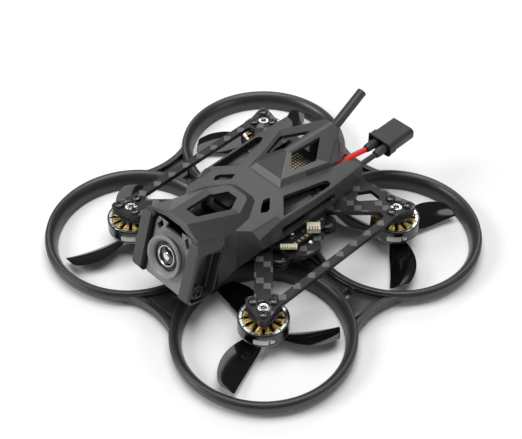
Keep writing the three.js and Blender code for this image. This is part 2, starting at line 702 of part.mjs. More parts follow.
// ---------------------------------------------------------------- battery leads and plug
const SLEEVE_FRONT = 37.6;
const leads = {
  red: [[5.5, 6, BOARD_HIGH + 0.95], [5.5, 13, BOARD_HIGH + 1], [5.7, 21, PLATE_TOP + 3.3],
    [6.5, 30, LEAD_LEVEL - 0.1], [7.7, SLEEVE_FRONT - 0.3, LEAD_LEVEL]],
  black: [[11.6, 6, BOARD_HIGH + 0.95], [11.6, 13, BOARD_HIGH + 1], [11.5, 21, PLATE_TOP + 3.3],
    [11.4, 30, LEAD_LEVEL - 0.1], [11.5, SLEEVE_FRONT - 0.3, LEAD_LEVEL]],
};

function lead(points) {
  const curve = new THREE.CatmullRomCurve3(points.map((point) => new THREE.Vector3(...point)));
  const circle = new THREE.Shape().absarc(0, 0, LEAD_RADIUS, 0, 2 * Math.PI);
  return new THREE.ExtrudeGeometry(circle, {
    steps: 12, curveSegments: 4, bevelEnabled: false, extrudePath: curve });
}

function plug() {
  const [x0, y0, z0] = PLUG_LOW;
  const [x1, y1, z1] = PLUG_HIGH;
  const corner = 1.3;
  const face = [[x0 + corner, z0], [x1 - corner, z0], [x1, z0 + corner], [x1, z1 - corner],
    [x1 - corner, z1], [x0, z1], [x0, z0 + corner]];
  const body = slab(outline(face), -y1, -y0);
  body.rotateX(Math.PI / 2);
  const sleeves = [7.7, 11.5].map((x) => (
    solid(bar(1.45, [x, SLEEVE_FRONT, LEAD_LEVEL], [x, y0 + 1, LEAD_LEVEL], 16))));
  const sockets = [7.6, 11.6].map((x) => (
    solid(bar(1.1, [x, y1 - 6, LEAD_LEVEL], [x, y1 + 1, LEAD_LEVEL], 16))));
  return fromSolid(cut(join(solid(body), ...sleeves), ...sockets));
}

place("battery_lead_red", lead(leads.red), looks.red);
place("battery_lead_black", lead(leads.black), looks.black);
place("battery_plug", plug(), looks.black);

export default drone;
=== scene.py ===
from math import atan2, cos, hypot, pi, radians, sin, sqrt, tan

import bmesh
import bpy
from mathutils import Matrix, Vector


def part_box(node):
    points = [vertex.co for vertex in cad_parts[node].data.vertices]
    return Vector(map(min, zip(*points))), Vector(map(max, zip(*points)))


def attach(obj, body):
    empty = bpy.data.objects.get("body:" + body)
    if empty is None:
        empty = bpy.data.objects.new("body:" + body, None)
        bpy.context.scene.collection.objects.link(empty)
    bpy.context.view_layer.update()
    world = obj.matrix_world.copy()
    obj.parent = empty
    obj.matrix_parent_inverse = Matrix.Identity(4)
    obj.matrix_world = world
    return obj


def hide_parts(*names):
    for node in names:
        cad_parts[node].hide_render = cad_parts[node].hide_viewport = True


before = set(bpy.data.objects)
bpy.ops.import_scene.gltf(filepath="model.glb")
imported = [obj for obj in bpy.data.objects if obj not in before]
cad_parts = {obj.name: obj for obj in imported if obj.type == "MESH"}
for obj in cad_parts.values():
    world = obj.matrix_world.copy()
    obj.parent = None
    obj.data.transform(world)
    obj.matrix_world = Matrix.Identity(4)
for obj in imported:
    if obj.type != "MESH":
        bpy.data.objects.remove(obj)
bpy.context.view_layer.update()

MM = 0.001
MERGE = 0.0005  # points closer than this, in millimetres, become one

# ---- driving dimensions
ARM = (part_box("motor_shaft_front_left")[0].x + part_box("motor_shaft_front_left")[1].x) / 2 / MM
PLATE_LOW, PLATE_TOP = (corner.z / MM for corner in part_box("carbon_plate"))
CORNERS = {
    "front_left": (ARM, -ARM),
    "front_right": (-ARM, -ARM),
    "rear_left": (ARM, ARM),
    "rear_right": (-ARM, ARM),
}
OUTWARD = {name: atan2(y, x) for name, (x, y) in CORNERS.items()}
PROP_HEADING = {"front_left": 42, "front_right": 23, "rear_left": 80, "rear_right": 98}

CAMERA_PIVOT = Vector((0, -38.2, PLATE_TOP - 0.5))
CAMERA_TILT = radians(-18)
TILTED = Matrix.Translation(CAMERA_PIVOT) @ Matrix.Rotation(CAMERA_TILT, 4, "X")
ANTENNA_TIP = Vector((0, 43.4, PLATE_TOP + 19.6))


def box(node):
    """Two corners of a CAD node's box, in millimetres."""
    return [Vector(corner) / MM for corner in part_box(node)]


# ---- forms
class Form:
    """Points in millimetres and the faces between them."""

    def __init__(self, points=(), faces=()):
        self.points = [Vector(point) for point in points]
        self.faces = [list(face) for face in faces]

    def __add__(self, other):
        start = len(self.points)
        shifted = [[i + start for i in face] for face in other.faces]
        return Form(self.points + other.points, self.faces + shifted)

    def moved(self, matrix):
        return Form([matrix @ point for point in self.points], self.faces)

    def at(self, x=0, y=0, z=0):
        return self.moved(Matrix.Translation((x, y, z)))

    def turned(self, angle, axis="Z"):
        return self.moved(Matrix.Rotation(angle, 4, axis))

    def mirrored(self):
        return Form([(-x, y, z) for x, y, z in self.points], [face[::-1] for face in self.faces])


def both_sides(form):
    return form + form.mirrored()


def all_of(forms):
    return sum(forms, Form())


def skin(rings, looped=False, closed=True):
    """A form through rings of equally many points; looped, the last ring meets the first."""
    count = len(rings[0])
    faces = []
    for k in range(len(rings) if looped else len(rings) - 1):
        here, there = k * count, (k + 1) % len(rings) * count
        for i in range(count if closed else count - 1):
            j = (i + 1) % count
            faces.append([here + i, here + j, there + j, there + i])
    if not looped:
        last = (len(rings) - 1) * count
        faces += [list(range(count))[::-1], [last + i for i in range(count)]]
    return Form([point for ring in rings for point in ring], faces)


def lathe(profile, sides=64):
    """A profile of (radius, height) pairs turned about Z; one that starts on the axis also ends there."""
    angles = [2 * pi * i / sides for i in range(sides)]
    rings = [[(r * cos(angle), r * sin(angle), z) for r, z in profile] for angle in angles]
    return skin(rings, looped=True, closed=profile[0][0] > 0)


def prism(outline, low, high):
    """A flat outline of (x, y) pairs raised between two heights."""
    return skin([[(x, y, z) for x, y in outline] for z in (low, high)])


def rectangle(x0, y0, x1, y1):
    return [(x0, y0), (x1, y0), (x1, y1), (x0, y1)]


def block(low, high):
    return prism(rectangle(low[0], low[1], high[0], high[1]), low[2], high[2])


def pads(places, size, low, high):
    half = size / 2
    return all_of(block((x - half, y - half, low), (x + half, y + half, high)) for x, y in places)


def arc(radius, start, end, x=0, y=0, count=12):
    angles = [start + (end - start) * i / (count - 1) for i in range(count)]
    return [(x + radius * cos(a), y + radius * sin(a)) for a in angles]


def disc(radius, low, high, x=0, y=0, sides=48):
    return prism(arc(radius, 0, 2 * pi * (1 - 1 / sides), x, y, sides), low, high)


def discs(places, radius, low, high, sides):
    return all_of(disc(radius, low, high, x, y, sides) for x, y in places)


def whole(half):
    """A closed outline from the half of it that lies on one side of the middle."""
    return half + [(-x, y) for x, y in reversed(half)]


def rounded(outline, radius, steps=5):
    """The same closed outline with its corners rounded; radius is one value, or one per corner."""
    radii = radius if isinstance(radius, list) else [radius] * len(outline)
    result = []
    for i, corner in enumerate(outline):
        here = Vector(corner)
        before = Vector(outline[i - 1]) - here
        after = Vector(outline[(i + 1) % len(outline)]) - here
        angle = before.angle(after)
        reach = min(radii[i] / tan(angle / 2), before.length * 0.49, after.length * 0.49)
        start, end = here + before.normalized() * reach, here + after.normalized() * reach
        if reach < 1e-4 or angle > radians(176):
            result.append(tuple(here))
            continue
        for t in (step / steps for step in range(steps + 1)):
            result.append(tuple(start * (1 - t) ** 2 + here * 2 * t * (1 - t) + end * t ** 2))
    return result


def smooth_route(points, count):
    """Points spaced along a Catmull-Rom curve through the given ones."""
    route = [Vector(point) for point in points]
    ends = [route[0] * 2 - route[1]] + route + [route[-1] * 2 - route[-2]]
    spans = len(route) - 1
    result = []
    for i in range(count):
        place = min(i * spans / (count - 1), spans - 1e-6)
        k = int(place)
        t = place - k
        a, b, c, d = ends[k:k + 4]
        result.append(0.5 * (2 * b + (c - a) * t + (2 * a - 5 * b + 4 * c - d) * t ** 2
                             + (3 * b - a - 3 * c + d) * t ** 3))
    return result


def tube(route, radius, sides=16):
    """A round tube along a route; radius is one value, or one per point."""
    route = [Vector(point) for point in route]
    radii = radius if isinstance(radius, list) else [radius] * len(route)
    side = (route[1] - route[0]).normalized().orthogonal().normalized()
    rings = []
    for i, point in enumerate(route):
        ahead = (route[min(i + 1, len(route) - 1)] - route[max(i - 1, 0)]).normalized()
        side = (side - ahead * side.dot(ahead)).normalized()
        up = ahead.cross(side)
        rings.append([point + radii[i] * (side * cos(a) + up * sin(a))
                      for a in (2 * pi * k / sides for k in range(sides))])
    return skin(rings)


# ---- making pieces
def raw_object(name, form):
    mesh = bpy.data.meshes.new(name)
    mesh.from_pydata([point * MM for point in form.points], [], form.faces)
    shell = bmesh.new()
    shell.from_mesh(mesh)
    bmesh.ops.recalc_face_normals(shell, faces=shell.faces)
    shell.to_mesh(mesh)
    shell.free()
    return linked(bpy.data.objects.new(name, mesh))


def linked(thing):
    bpy.context.scene.collection.objects.link(thing)
    return thing


def modify(thing, kind, **settings):
    """Runs one modifier on an object and keeps its result as the object's mesh."""
    modifier = thing.modifiers.new(kind.lower(), kind)
    for key, value in settings.items():
        setattr(modifier, key, value)
    graph = bpy.context.evaluated_depsgraph_get()
    mesh = bpy.data.meshes.new_from_object(thing.evaluated_get(graph))
    thing.modifiers.clear()
    thing.data = mesh


def carve(thing, form, operation="DIFFERENCE"):
    tool = raw_object("tool", form)
    modify(thing, "BOOLEAN", object=tool, operation=operation, solver="EXACT", use_self=True)
    bpy.data.objects.remove(tool)


def soften(thing, width, segments=2, angle=28):
    """Rounds every edge sharper than an angle."""
    modify(thing, "BEVEL", width=width * MM, segments=segments, limit_method="ANGLE",
           angle_limit=radians(angle))


def join_objects(first, *others):
    """Adds the other objects' meshes to the first."""
    total = bmesh.new()
    for thing in (first, *others):
        total.from_mesh(thing.data)
    total.to_mesh(first.data)
    total.free()
    for other in others:
        bpy.data.objects.remove(other)


def place_mesh(mesh, matrix):
    """Moves a mesh that is already in metres by a placement in millimetres."""
    placement = matrix.copy()
    placement.translation = matrix.translation * MM
    mesh.transform(placement)


def tidy_mesh(thing):
    """Merges points that fall together and drops faces that have no area or are there twice."""
    shell = bmesh.new()
    shell.from_mesh(thing.data)
    bmesh.ops.remove_doubles(shell, verts=shell.verts, dist=MERGE * MM)
    bmesh.ops.dissolve_degenerate(shell, edges=shell.edges, dist=MERGE * MM)
    shell.to_mesh(thing.data)
    shell.free()
    thing.data.validate()


def dress(thing, look, smooth=35, even=False):
    """Gives an object its material, and smooth shading up to an angle; even keeps its large faces flat."""
    thing.data.materials.clear()
    thing.data.materials.append(LOOKS[look])
    thing.data.polygons.foreach_set("use_smooth", [True] * len(thing.data.polygons))
    thing.data.set_sharp_from_angle(angle=radians(smooth))
    if even:
        modify(thing, "WEIGHTED_NORMAL", keep_sharp=True, weight=100)


def enlist(thing, look, slot="", body="airframe", nodes=(), smooth=35, even=False):
    """Cleans and dresses a piece and says what it rides on and the nodes it replaces; its slot is not used.
    """
    tidy_mesh(thing)
    dress(thing, look, smooth, even)
    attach(thing, body)
    if nodes:
        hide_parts(*nodes)


def add_piece(name, form, look, slot="", bevel=0, segments=2, holes=(), place=None, **settings):
    """A finished piece: its form less its holes, softened, put in its place and enlisted."""
    thing = raw_object(name, form)
    for hole in holes:
        carve(thing, hole)
    if bevel:
        soften(thing, bevel, segments)
    if place:
        place_mesh(thing.data, place)
    enlist(thing, look, slot, **settings)
    return thing


# ---- materials
class Nodes:
    """Short calls for building a material's nodes, all in object space, which is in metres."""

    def __init__(self, name):
        self.material = bpy.data.materials.new(name)
        self.material.use_nodes = True
        self.tree = self.material.node_tree
        self.shader = self.tree.nodes["Principled BSDF"]
        self.place = self.tree.nodes.new("ShaderNodeTexCoord").outputs["Object"]

    def node(self, kind, inputs=None, **settings):
        made = self.tree.nodes.new("ShaderNode" + kind)
        for key, value in settings.items():
            setattr(made, key, value)
        for key, value in (inputs or {}).items():
            self.feed(made.inputs[key], value)
        return made

    def feed(self, socket, value):
        if isinstance(value, bpy.types.NodeSocket):
            self.tree.links.new(value, socket)
        else:
            socket.default_value = value

    def set(self, **values):
        for key, value in values.items():
            self.feed(self.shader.inputs[key.replace("_", " ")], value)

    def noise(self, scale, detail=3, roughness=0.55):
        inputs = {"Vector": self.place, "Scale": scale, "Detail": detail, "Roughness": roughness}
        return self.node("TexNoise", inputs).outputs["Fac"]

    def ramp(self, value, low, high, start=0.0, end=1.0):
        inputs = {"Value": value, "From Min": low, "From Max": high, "To Min": start, "To Max": end}
        return self.node("MapRange", inputs).outputs["Result"]

    def math(self, operation, first, second=0.0):
        return self.node("Math", {0: first, 1: second}, operation=operation).outputs[0]

    def mix(self, share, first, second):
        return self.node("Mix", {0: share, 6: first, 7: second}, data_type="RGBA").outputs[2]

    def axes(self, place=None):
        return self.node("SeparateXYZ", {0: place or self.place}).outputs

    def finish(self, tone, colors, rough, relief=None, **values):
        """Colour between two shades by a tone, roughness by a ramp and relief by a bump."""
        self.set(Base_Color=self.mix(tone, *colors), Roughness=self.ramp(*rough), **values)
        if relief:
            height, strength, distance = relief
            inputs = {"Height": height, "Strength": strength, "Distance": distance}
            self.set(Normal=self.node("Bump", inputs).outputs["Normal"])
        return self.material


def shades(color, *factors):
    return [(*(channel * factor for channel in color), 1.0) for factor in factors]


def moulded(name, color, roughness, grain, scale=2600, specular=0.5):
    """Moulded plastic: a fine spark-eroded grain and a faint drift of tone."""
    n = Nodes(name)
    tone = n.ramp(n.noise(90, 2), 0.3, 0.7, 0.88, 1.12)
    fine = n.noise(scale, 4, 0.65)
    return n.finish(n.math("MULTIPLY", tone, 0.5), shades(color, 0.86, 1.14),
                    (fine, 0.3, 0.7, roughness - 0.06, roughness + 0.08), (fine, grain, 0.00006),
                    Specular_IOR_Level=specular)


def metal(name, color, roughness, turned=True, metallic=1.0):
    """Machined metal: fine rings about each motor or screw, or a plain blasted surface."""
    n = Nodes(name)
    fine = n.noise(3000)
    if turned:
        height = n.node("CombineXYZ", {"Z": n.axes()[2]}).outputs[0]
        rings = n.node("TexNoise", {"Vector": height, "Scale": 9000, "Detail": 2}).outputs["Fac"]
        fine = n.mix(0.6, fine, rings)
    return n.finish(fine, shades(color, 0.88, 1.08), (fine, 0.2, 0.8, roughness - 0.07, roughness + 0.1),
                    (fine, 0.15, 0.00002), Metallic=metallic)


def twill(name, cell=0.00212):
    """Twill carbon laminate under resin: tows laid at 45 degrees, with a painted highlight on a quarter of
    them where the surface faces up.
    """
    n = Nodes(name)
    turned = n.node("VectorRotate", {"Vector": n.place, "Angle": radians(-45)}, rotation_type="Z_AXIS")
    across, along, _ = n.axes(turned.outputs[0])
    column, row = (n.math("FLOOR", n.math("DIVIDE", value, cell)) for value in (across, along))
    step = n.math("FLOORED_MODULO", n.math("ADD", column, row), 4.0)
    # Painted highlight: a quarter of the tows, on faces that look up, get a light grey colour in place of the
    # sheen they catch.
    facing_up = n.math("GREATER_THAN", n.axes(n.node("NewGeometry").outputs["Normal"])[2], 0.5)
    painted_glint = n.math("MULTIPLY", n.math("LESS_THAN", step, 0.5), facing_up)
    share = n.math("FRACT", n.math("DIVIDE", across, cell))
    threads = n.math("SINE", n.math("MULTIPLY", share, 44.0))
    drift = n.ramp(n.noise(500), 0.3, 0.7, 0.55, 0.95)
    shade = n.mix(n.math("LESS_THAN", step, 2.5), (0.009, 0.009, 0.01, 1), (0.015, 0.015, 0.016, 1))
    return n.finish(n.math("MULTIPLY", painted_glint, drift), (shade, (0.15, 0.152, 0.156, 1)),
                    (n.noise(1500), 0.3, 0.7, 0.38, 0.5), (n.mix(0.5, threads, painted_glint), 0.12, 0.00003),
                    Specular_IOR_Level=0.35)


def windings(name):
    """Enamelled copper wire: fine turns and a warm drift from gold to dark amber."""
    n = Nodes(name)
    turns = n.math("SINE", n.math("MULTIPLY", n.axes()[2], 16000.0))
    drift = n.noise(700, 2)
    return n.finish(n.ramp(drift, 0.35, 0.65), ((0.3, 0.13, 0.03, 1), (0.7, 0.45, 0.14, 1)),
                    (drift, 0.3, 0.7, 0.22, 0.4), (turns, 0.4, 0.00005), Metallic=0.85)


def glass(name):
    n = Nodes(name)
    return n.finish(n.noise(300), ((0.002, 0.002, 0.003, 1), (0.006, 0.005, 0.01, 1)),
                    (n.noise(900), 0.3, 0.7, 0.02, 0.06),
                    Specular_IOR_Level=0.6, Coat_Weight=0.5, Coat_Roughness=0.03)


def silicone(name, color):
    """Soft cable sheath: satin, with very fine drawn lines."""
    n = Nodes(name)
    fine = n.noise(1800)
    return n.finish(n.noise(150), shades(color, 0.9, 1.1), (fine, 0.3, 0.7, 0.36, 0.5),
                    (fine, 0.15, 0.00003), Sheen_Weight=0.1)


def glossy(name, color):
    """Polished plastic: nearly smooth, with faint flow marks."""
    n = Nodes(name)
    flow = n.noise(260, 2)
    return n.finish(flow, shades(color, 0.8, 1.3), (flow, 0.3, 0.7, 0.06, 0.12), (flow, 0.05, 0.00005),
                    Specular_IOR_Level=0.4)


LOOKS = {
    "moulded_frame": moulded("frame_nylon", (0.022, 0.0223, 0.023), 0.34, 0.25, specular=0.6),
    "canopy_plastic": moulded("canopy_nylon", (0.029, 0.0293, 0.03), 0.38, 0.25, specular=0.7),
    "camera_plastic": moulded("camera_plastic", (0.24, 0.242, 0.246), 0.36, 0.2),
    "camera_dark": moulded("camera_dark", (0.012, 0.012, 0.013), 0.4, 0.2),
    "lens_black": moulded("lens_black", (0.03, 0.03, 0.032), 0.3, 0.1),
    "pale_insulation": moulded("coil_insulation", (0.5, 0.48, 0.2), 0.45, 0.1),
    "damper_rubber": moulded("damper_rubber", (0.01, 0.01, 0.01), 0.3, 0.15, 1500),
    "carbon_fibre": twill("carbon_twill"),
    "motor_aluminium": metal("machined_aluminium", (0.75, 0.75, 0.76), 0.22),
    "motor_bell_metal": metal("bell_gunmetal", (0.075, 0.076, 0.08), 0.24),
    "bronze": metal("bell_rim_bronze", (0.45, 0.24, 0.13), 0.3),
    "motor_black": metal("anodised_black", (0.03, 0.03, 0.032), 0.4, metallic=0.6),
    "copper_winding": windings("copper_windings"),
    "dark_steel": metal("screw_steel", (0.11, 0.11, 0.115), 0.33, turned=False),
    "bright_steel": metal("bright_steel", (0.8, 0.8, 0.8), 0.18, turned=False),
    "propeller_plastic": glossy("propeller_gloss", (0.004, 0.004, 0.005)),
    "lens_glass": glass("coated_glass"),
    "circuit_board": moulded("solder_mask", (0.008, 0.009, 0.009), 0.35, 0.15, 800),
    "gold_shield": metal("gold_plate", (0.7, 0.56, 0.34), 0.35, turned=False),
    "connector_cream": moulded("connector_nylon", (0.72, 0.66, 0.52), 0.45, 0.2),
    "patch_white": moulded("printed_patch", (0.75, 0.76, 0.76), 0.4, 0.1),
    "antenna_plastic": moulded("antenna_tube", (0.03, 0.03, 0.031), 0.42, 0.2),
    "lead_red": silicone("red_silicone", (0.9, 0.02, 0.012)),
    "lead_black": silicone("black_silicone", (0.025, 0.025, 0.026)),
    "plug_plastic": moulded("plug_nylon", (0.022, 0.022, 0.023), 0.45, 0.3),
}


# ---- camera, light and floor
def aimed(away):
    """Rotation of a camera or lamp that looks against the given direction."""
    return (-away).to_track_quat("-Z", "Y").to_euler()


def add_camera():
    """The view: 45 degrees round from the nose, 45 degrees up, through a long lens."""
    azimuth, elevation, distance = radians(45.085), radians(45.04), 367.15
    target = Vector((3.766, -4.844, 15.6))
    away = Vector((sin(azimuth) * cos(elevation), -cos(azimuth) * cos(elevation), sin(elevation)))
    data = bpy.data.cameras.new("view")
    data.lens = 84.25
    data.sensor_width = 36
    data.clip_start = 0.01
    camera = linked(bpy.data.objects.new("view", data))
    camera.location = (target + away * distance) * MM
    camera.rotation_euler = aimed(away)
    bpy.context.scene.camera = camera


def add_light(name, place, size, power):
    """Round soft light, in metres and watts, that points just above the middle of the floor."""
    data = bpy.data.lights.new(name, "AREA")
    data.shape = "DISK"
    data.size = size
    data.energy = power
    light = linked(bpy.data.objects.new(name, data))
    light.location = place
    light.rotation_euler = aimed(Vector(place) - Vector((0, 0, 0.01)))


def add_studio():
    bpy.context.scene.view_settings.view_transform = "Standard"
    world = bpy.data.worlds.new("studio")
    world.use_nodes = True
    world.node_tree.nodes["Background"].inputs["Color"].default_value = (1, 1, 1, 1)
    world.node_tree.nodes["Background"].inputs["Strength"].default_value = 0.18
    bpy.context.scene.world = world
    add_light("overhead", (0, 0.05, 0.85), 0.7, 5)
    add_light("rear_left", (-0.5, 0.6, 0.62), 0.5, 1.5)
    add_light("front_left", (-0.45, -0.62, 0.6), 0.45, 4)
    add_light("right", (0.85, 0.25, 0.4), 0.4, 1.0)
    mesh = bpy.data.meshes.new("floor")
    mesh.from_pydata([(x, y, 0) for x, y in rectangle(-3, -3, 3, 3)], [], [(0, 1, 2, 3)])
    floor = linked(bpy.data.objects.new("floor", mesh))
    floor.location.z = -0.0002
    n = Nodes("floor_paper")
    n.set(Base_Color=n.mix(n.noise(8), (0.92, 0.92, 0.92, 1), (0.94, 0.94, 0.94, 1)), Roughness=0.75)
    mesh.materials.append(n.material)


add_camera()
add_studio()

# ---- battery leads and plug
LEAD_RADIUS = 0.9
PLUG_LOW, PLUG_HIGH = box("battery_plug")
LEAD_LEVEL = (PLUG_LOW.z + PLUG_HIGH.z) / 2
PLUG_BACK = 42
SLEEVE_FRONT = PLUG_LOW.y
BOARD_TOP = PLATE_TOP + 1.7
LEADS = {
    "red": [(5.5, 6, BOARD_TOP + 0.95), (5.5, 13, BOARD_TOP + 1), (5.7, 21, PLATE_TOP + 3.3),
            (6.5, 30, LEAD_LEVEL - 0.1), (7.7, SLEEVE_FRONT - 0.3, LEAD_LEVEL)],
    "black": [(11.6, 6, BOARD_TOP + 0.95), (11.6, 13, BOARD_TOP + 1), (11.5, 21, PLATE_TOP + 3.3),
              (11.4, 30, LEAD_LEVEL - 0.1), (11.5, SLEEVE_FRONT - 0.3, LEAD_LEVEL)],
}


def plug_body(inset, front, back):
    """Round-cornered length of the plug, drawn in from its sides by an inset."""
    x0, x1, z0, z1 = PLUG_LOW.x, PLUG_HIGH.x, PLUG_LOW.z, PLUG_HIGH.z
    centre_x, centre_z = (x0 + x1) / 2, (z0 + z1) / 2
    face = rounded(rectangle(x0, z0, x1, z1), [0.4, 1.9, 1.9, 0.4], 8)
    shrink = Matrix.Diagonal((1 - inset / (x1 - x0) * 2, 1 - inset / (z1 - z0) * 2, 1, 1))
    form = prism([(x - centre_x, z - centre_z) for x, z in face], -back, -front).moved(shrink)
    return form.at(centre_x, centre_z, 0).turned(pi / 2, "X")


def add_plug():
    """Battery plug: a flared rim on the lead side, a stepped body and two sleeves."""
    end = PLUG_HIGH.y
    shell = raw_object("battery_plug_detail", plug_body(0.42, PLUG_BACK + 2.9, end))
    carve(shell, plug_body(0.14, PLUG_BACK, PLUG_BACK + 3.0), "UNION")
    carve(shell, plug_body(0, PLUG_BACK, PLUG_BACK + 0.45), "UNION")
    carve(shell, plug_body(0.75, PLUG_BACK - 1, PLUG_BACK + 1.2))
    for x in (7.6, 11.6):
        carve(shell, disc(1.1, -end - 1, -end + 6, x, LEAD_LEVEL, 24).turned(pi / 2, "X"))
    soften(shell, 0.1)
    enlist(shell, "plug_plastic", nodes=["battery_plug"], even=True)
    sleeves = []
    radii = [1.15, 1.3, 1.38, 1.42] + [1.45] * 7
    for colour, x in (("red", 7.7), ("black", 11.5)):
        length = PLUG_BACK + 1.4 - SLEEVE_FRONT
        route = [(x, SLEEVE_FRONT + length * i / 10, LEAD_LEVEL) for i in range(11)]
        sleeves.append(add_piece(f"lead_sleeve_{colour}", tube(route, radii, 24), "lead_black", bevel=0.1))
    return shell, sleeves


def add_leads():
    plug, sleeves = add_plug()
    for (colour, points), others in zip(LEADS.items(), ([plug, sleeves[0]], [sleeves[1]])):
        route = smooth_route(points, 36)
        name = f"battery_lead_{colour}"
        sheath = add_piece(f"{name}_sheath", tube(route, LEAD_RADIUS, 20), f"lead_{colour}", nodes=[name])


add_leads()

# ---- duct frame
DUCT_BORE = 23.7
DUCT_RIM = (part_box("duct_front_left")[1].x / MM) - ARM
BAND_LOW, BAND_HIGH = 2.3, 4.5
THROAT_TOP, LIP_TOP = 1.0, 5.6
FLARE = 2.9
STRUT_AT, STRUT_BOW, STRUT_WALL = 45.3, 23.4, 1.5
STRUT_REACH = radians(26.5)
QUARTERS = [radians(90 * quarter) for quarter in range(4)]


def duct_section():
    """Bell mouth: an upright throat that flares over a rolled lip, then a groove and an outer band."""
    throat = [(DUCT_BORE, 0.15), (DUCT_BORE, THROAT_TOP)]
    flare = [(DUCT_BORE + FLARE * (1 - cos(a)), THROAT_TOP + (LIP_TOP - THROAT_TOP) * sin(a))
             for a in (radians(6 + 84 * i / 13) for i in range(14))]
    lip = [(26.82, 5.54), (26.98, 5.38), (27.05, 5.15)]
    groove = [(26.9, 4.88), (26.9, 4.72), (27.1, 4.62)]
    band = [(DUCT_RIM - 0.08, BAND_HIGH), (DUCT_RIM, BAND_HIGH - 0.15), (DUCT_RIM, BAND_LOW + 0.15),
            (DUCT_RIM - 0.12, BAND_LOW)]
    under = [(25.6, BAND_LOW - 0.12), (25.1, BAND_LOW - 0.5), (24.7, 0.15), (24.55, 0), (DUCT_BORE + 0.15, 0)]
    return throat + flare + lip + groove + band + under


def arc_wall(inner, outer, low, high, steps=24):
    """A wall that bows in towards the middle of the craft, outside the place where two ducts meet."""
    middle, start, end = STRUT_AT + STRUT_BOW, pi - STRUT_REACH, pi + STRUT_REACH
    outline = arc(inner, end, start, middle, 0, steps) + arc(outer, start, end, middle, 0, steps)
    return prism(outline, low, high)


def strut():
    """Upright wall with a small bead along its top, and a web in the corner between the two ducts."""
    wall = arc_wall(STRUT_BOW, STRUT_BOW + STRUT_WALL, 0.9, BAND_HIGH - 0.1)
    bead = arc_wall(STRUT_BOW - 0.12, STRUT_BOW + STRUT_WALL + 0.12, BAND_HIGH - 0.45, BAND_HIGH)
    web = [(36.5, -1.6), (41.5, -6.2), (43.2, -5.4), (43.2, 5.4), (41.5, 6.2), (36.5, 1.6)]
    return wall + bead + prism(rounded(web, 0.5), 1.2, BAND_HIGH - 1.0)


def spar():
    """Channel from the hub to the place where two ducts meet: a floor between two upright ribs."""
    floor = block((12, -2.6, BAND_LOW + 0.1), (34, 2.6, BAND_LOW + 1.1))
    return floor + all_of(block((12, y - 0.55, BAND_LOW), (36, y + 0.55, BAND_HIGH)) for y in (-2.45, 2.45))


def hub():
    """Round hub: a drum with a stepped crown that carries the plate."""
    return lathe([(0, BAND_LOW), (15.9, BAND_LOW), (16.4, BAND_LOW + 0.5), (16.4, 7.2), (15.6, 8),
                  (9.2, 8), (8.2, 12.1), (7, PLATE_LOW - 0.02), (0, PLATE_LOW - 0.02)])


def damper_ear(name):
    """Arm and round seat under one vibration damper."""
    low, high = box(f"vibration_damper_{name}")
    x, y = (low.x + high.x) / 2, (low.y + high.y) / 2
    foot, top = low.z - 2.2, low.z - 0.02
    arm = prism(rounded([(2, -3.2), (19.4, -2.7), (19.4, 2.7), (2, 3.2)], 0.6), foot, top)
    rim = lathe([(2.9, low.z - 0.1), (3.9, low.z - 0.1), (3.9, low.z + 0.35), (3.3, low.z + 0.35)], 40)
    return arm.turned(atan2(y, x)) + disc(3.9, foot, top, x, y) + rim.at(x, y)


def add_frame():
    """One moulding: struts cut by the ducts' bores, the web cut by their rims, and the four ducts."""
    struts = raw_object("duct_frame", all_of(strut().turned(angle) for angle in QUARTERS))
    carve(struts, discs(CORNERS.values(), DUCT_BORE + 0.2, -1, 20, 160))
    soften(struts, 0.14)
    web = raw_object("web", all_of(spar().turned(angle) for angle in QUARTERS)
                     + hub() + all_of(damper_ear(name) for name in CORNERS))
    carve(web, discs(CORNERS.values(), DUCT_RIM - 0.3, -1, 20, 96))
    soften(web, 0.18)
    rings = raw_object("rings", all_of(lathe(duct_section(), 160).at(x, y) for x, y in CORNERS.values()))
    join_objects(struts, web, rings)
    enlist(struts, "moulded_frame", nodes=[f"duct_{name}" for name in CORNERS] + ["duct_web"], smooth=40)


add_frame()


# ---- rubber parts
def add_dampers():
    for name in CORNERS:
        node = f"vibration_damper_{name}"
        low, high = box(node)
        height = high.z - low.z
        radius = (high.x - low.x) / 2
        profile = [(0, 0.01), (2.0, 0.01)]
        for rib in range(3):
            middle = height * (0.2 + 0.3 * rib)
            for angle in (radians(-80 + 160 * i / 6) for i in range(7)):
                profile.append((radius - 0.95 + 0.9 * cos(angle), middle + 0.52 * sin(angle)))
        profile += [(2.0, height - 0.01), (0, height - 0.01)]
        form = lathe(profile, 40).at((low.x + high.x) / 2, (low.y + high.y) / 2, low.z)
        add_piece(f"damper_{name}", form, "damper_rubber", nodes=[node])


def add_battery_pad():
    low, high = box("battery_pad")
    grooves = [block((low.x + 0.8, y - 0.25, low.z), (high.x - 0.8, y + 0.25, low.z + 0.35)).at(z=-0.1)
               for y in [low.y + 1.2 + 1.06 * i for i in range(11)]]
    pad = prism(rounded(rectangle(low.x, low.y, high.x, high.y), 1.2), low.z, high.z - 0.01)
    add_piece("battery_pad_detail", pad, "damper_rubber", bevel=0.12, holes=[all_of(grooves)],
              nodes=["battery_pad"])


add_dampers()
add_battery_pad()

# ---- carbon plate
ARM_WIDTH = 5.4
SIDE_BAR_AT, SIDE_BAR_WIDTH = 30.4, 2.5
SCREW_CIRCLE = 3.3
PAD_REACH, PAD_CORNER = 7.4, 2.15
STUD_AT = (21, -1.5)
PLATE_EDGE = [
    (9, -23), (13.4, -16), (13.6, -10.6), (18.4, -9.8), (23.6, -6.4), (24.6, -1), (21.6, 4.2),
    (16.4, 5.6), (13.4, 8), (13.4, 15), (16.9, 20.7), (16.4, 24.7), (17.6, 27.4), (15.2, 29.8), (9.5, 31.2),
]
LIGHT_WINDOW = [(17.2, 22.4), (16.4, 24.7), (18.6, 28.2), (22.6, 27.8), (23.0, 26.4), (19.0, 21.75)]


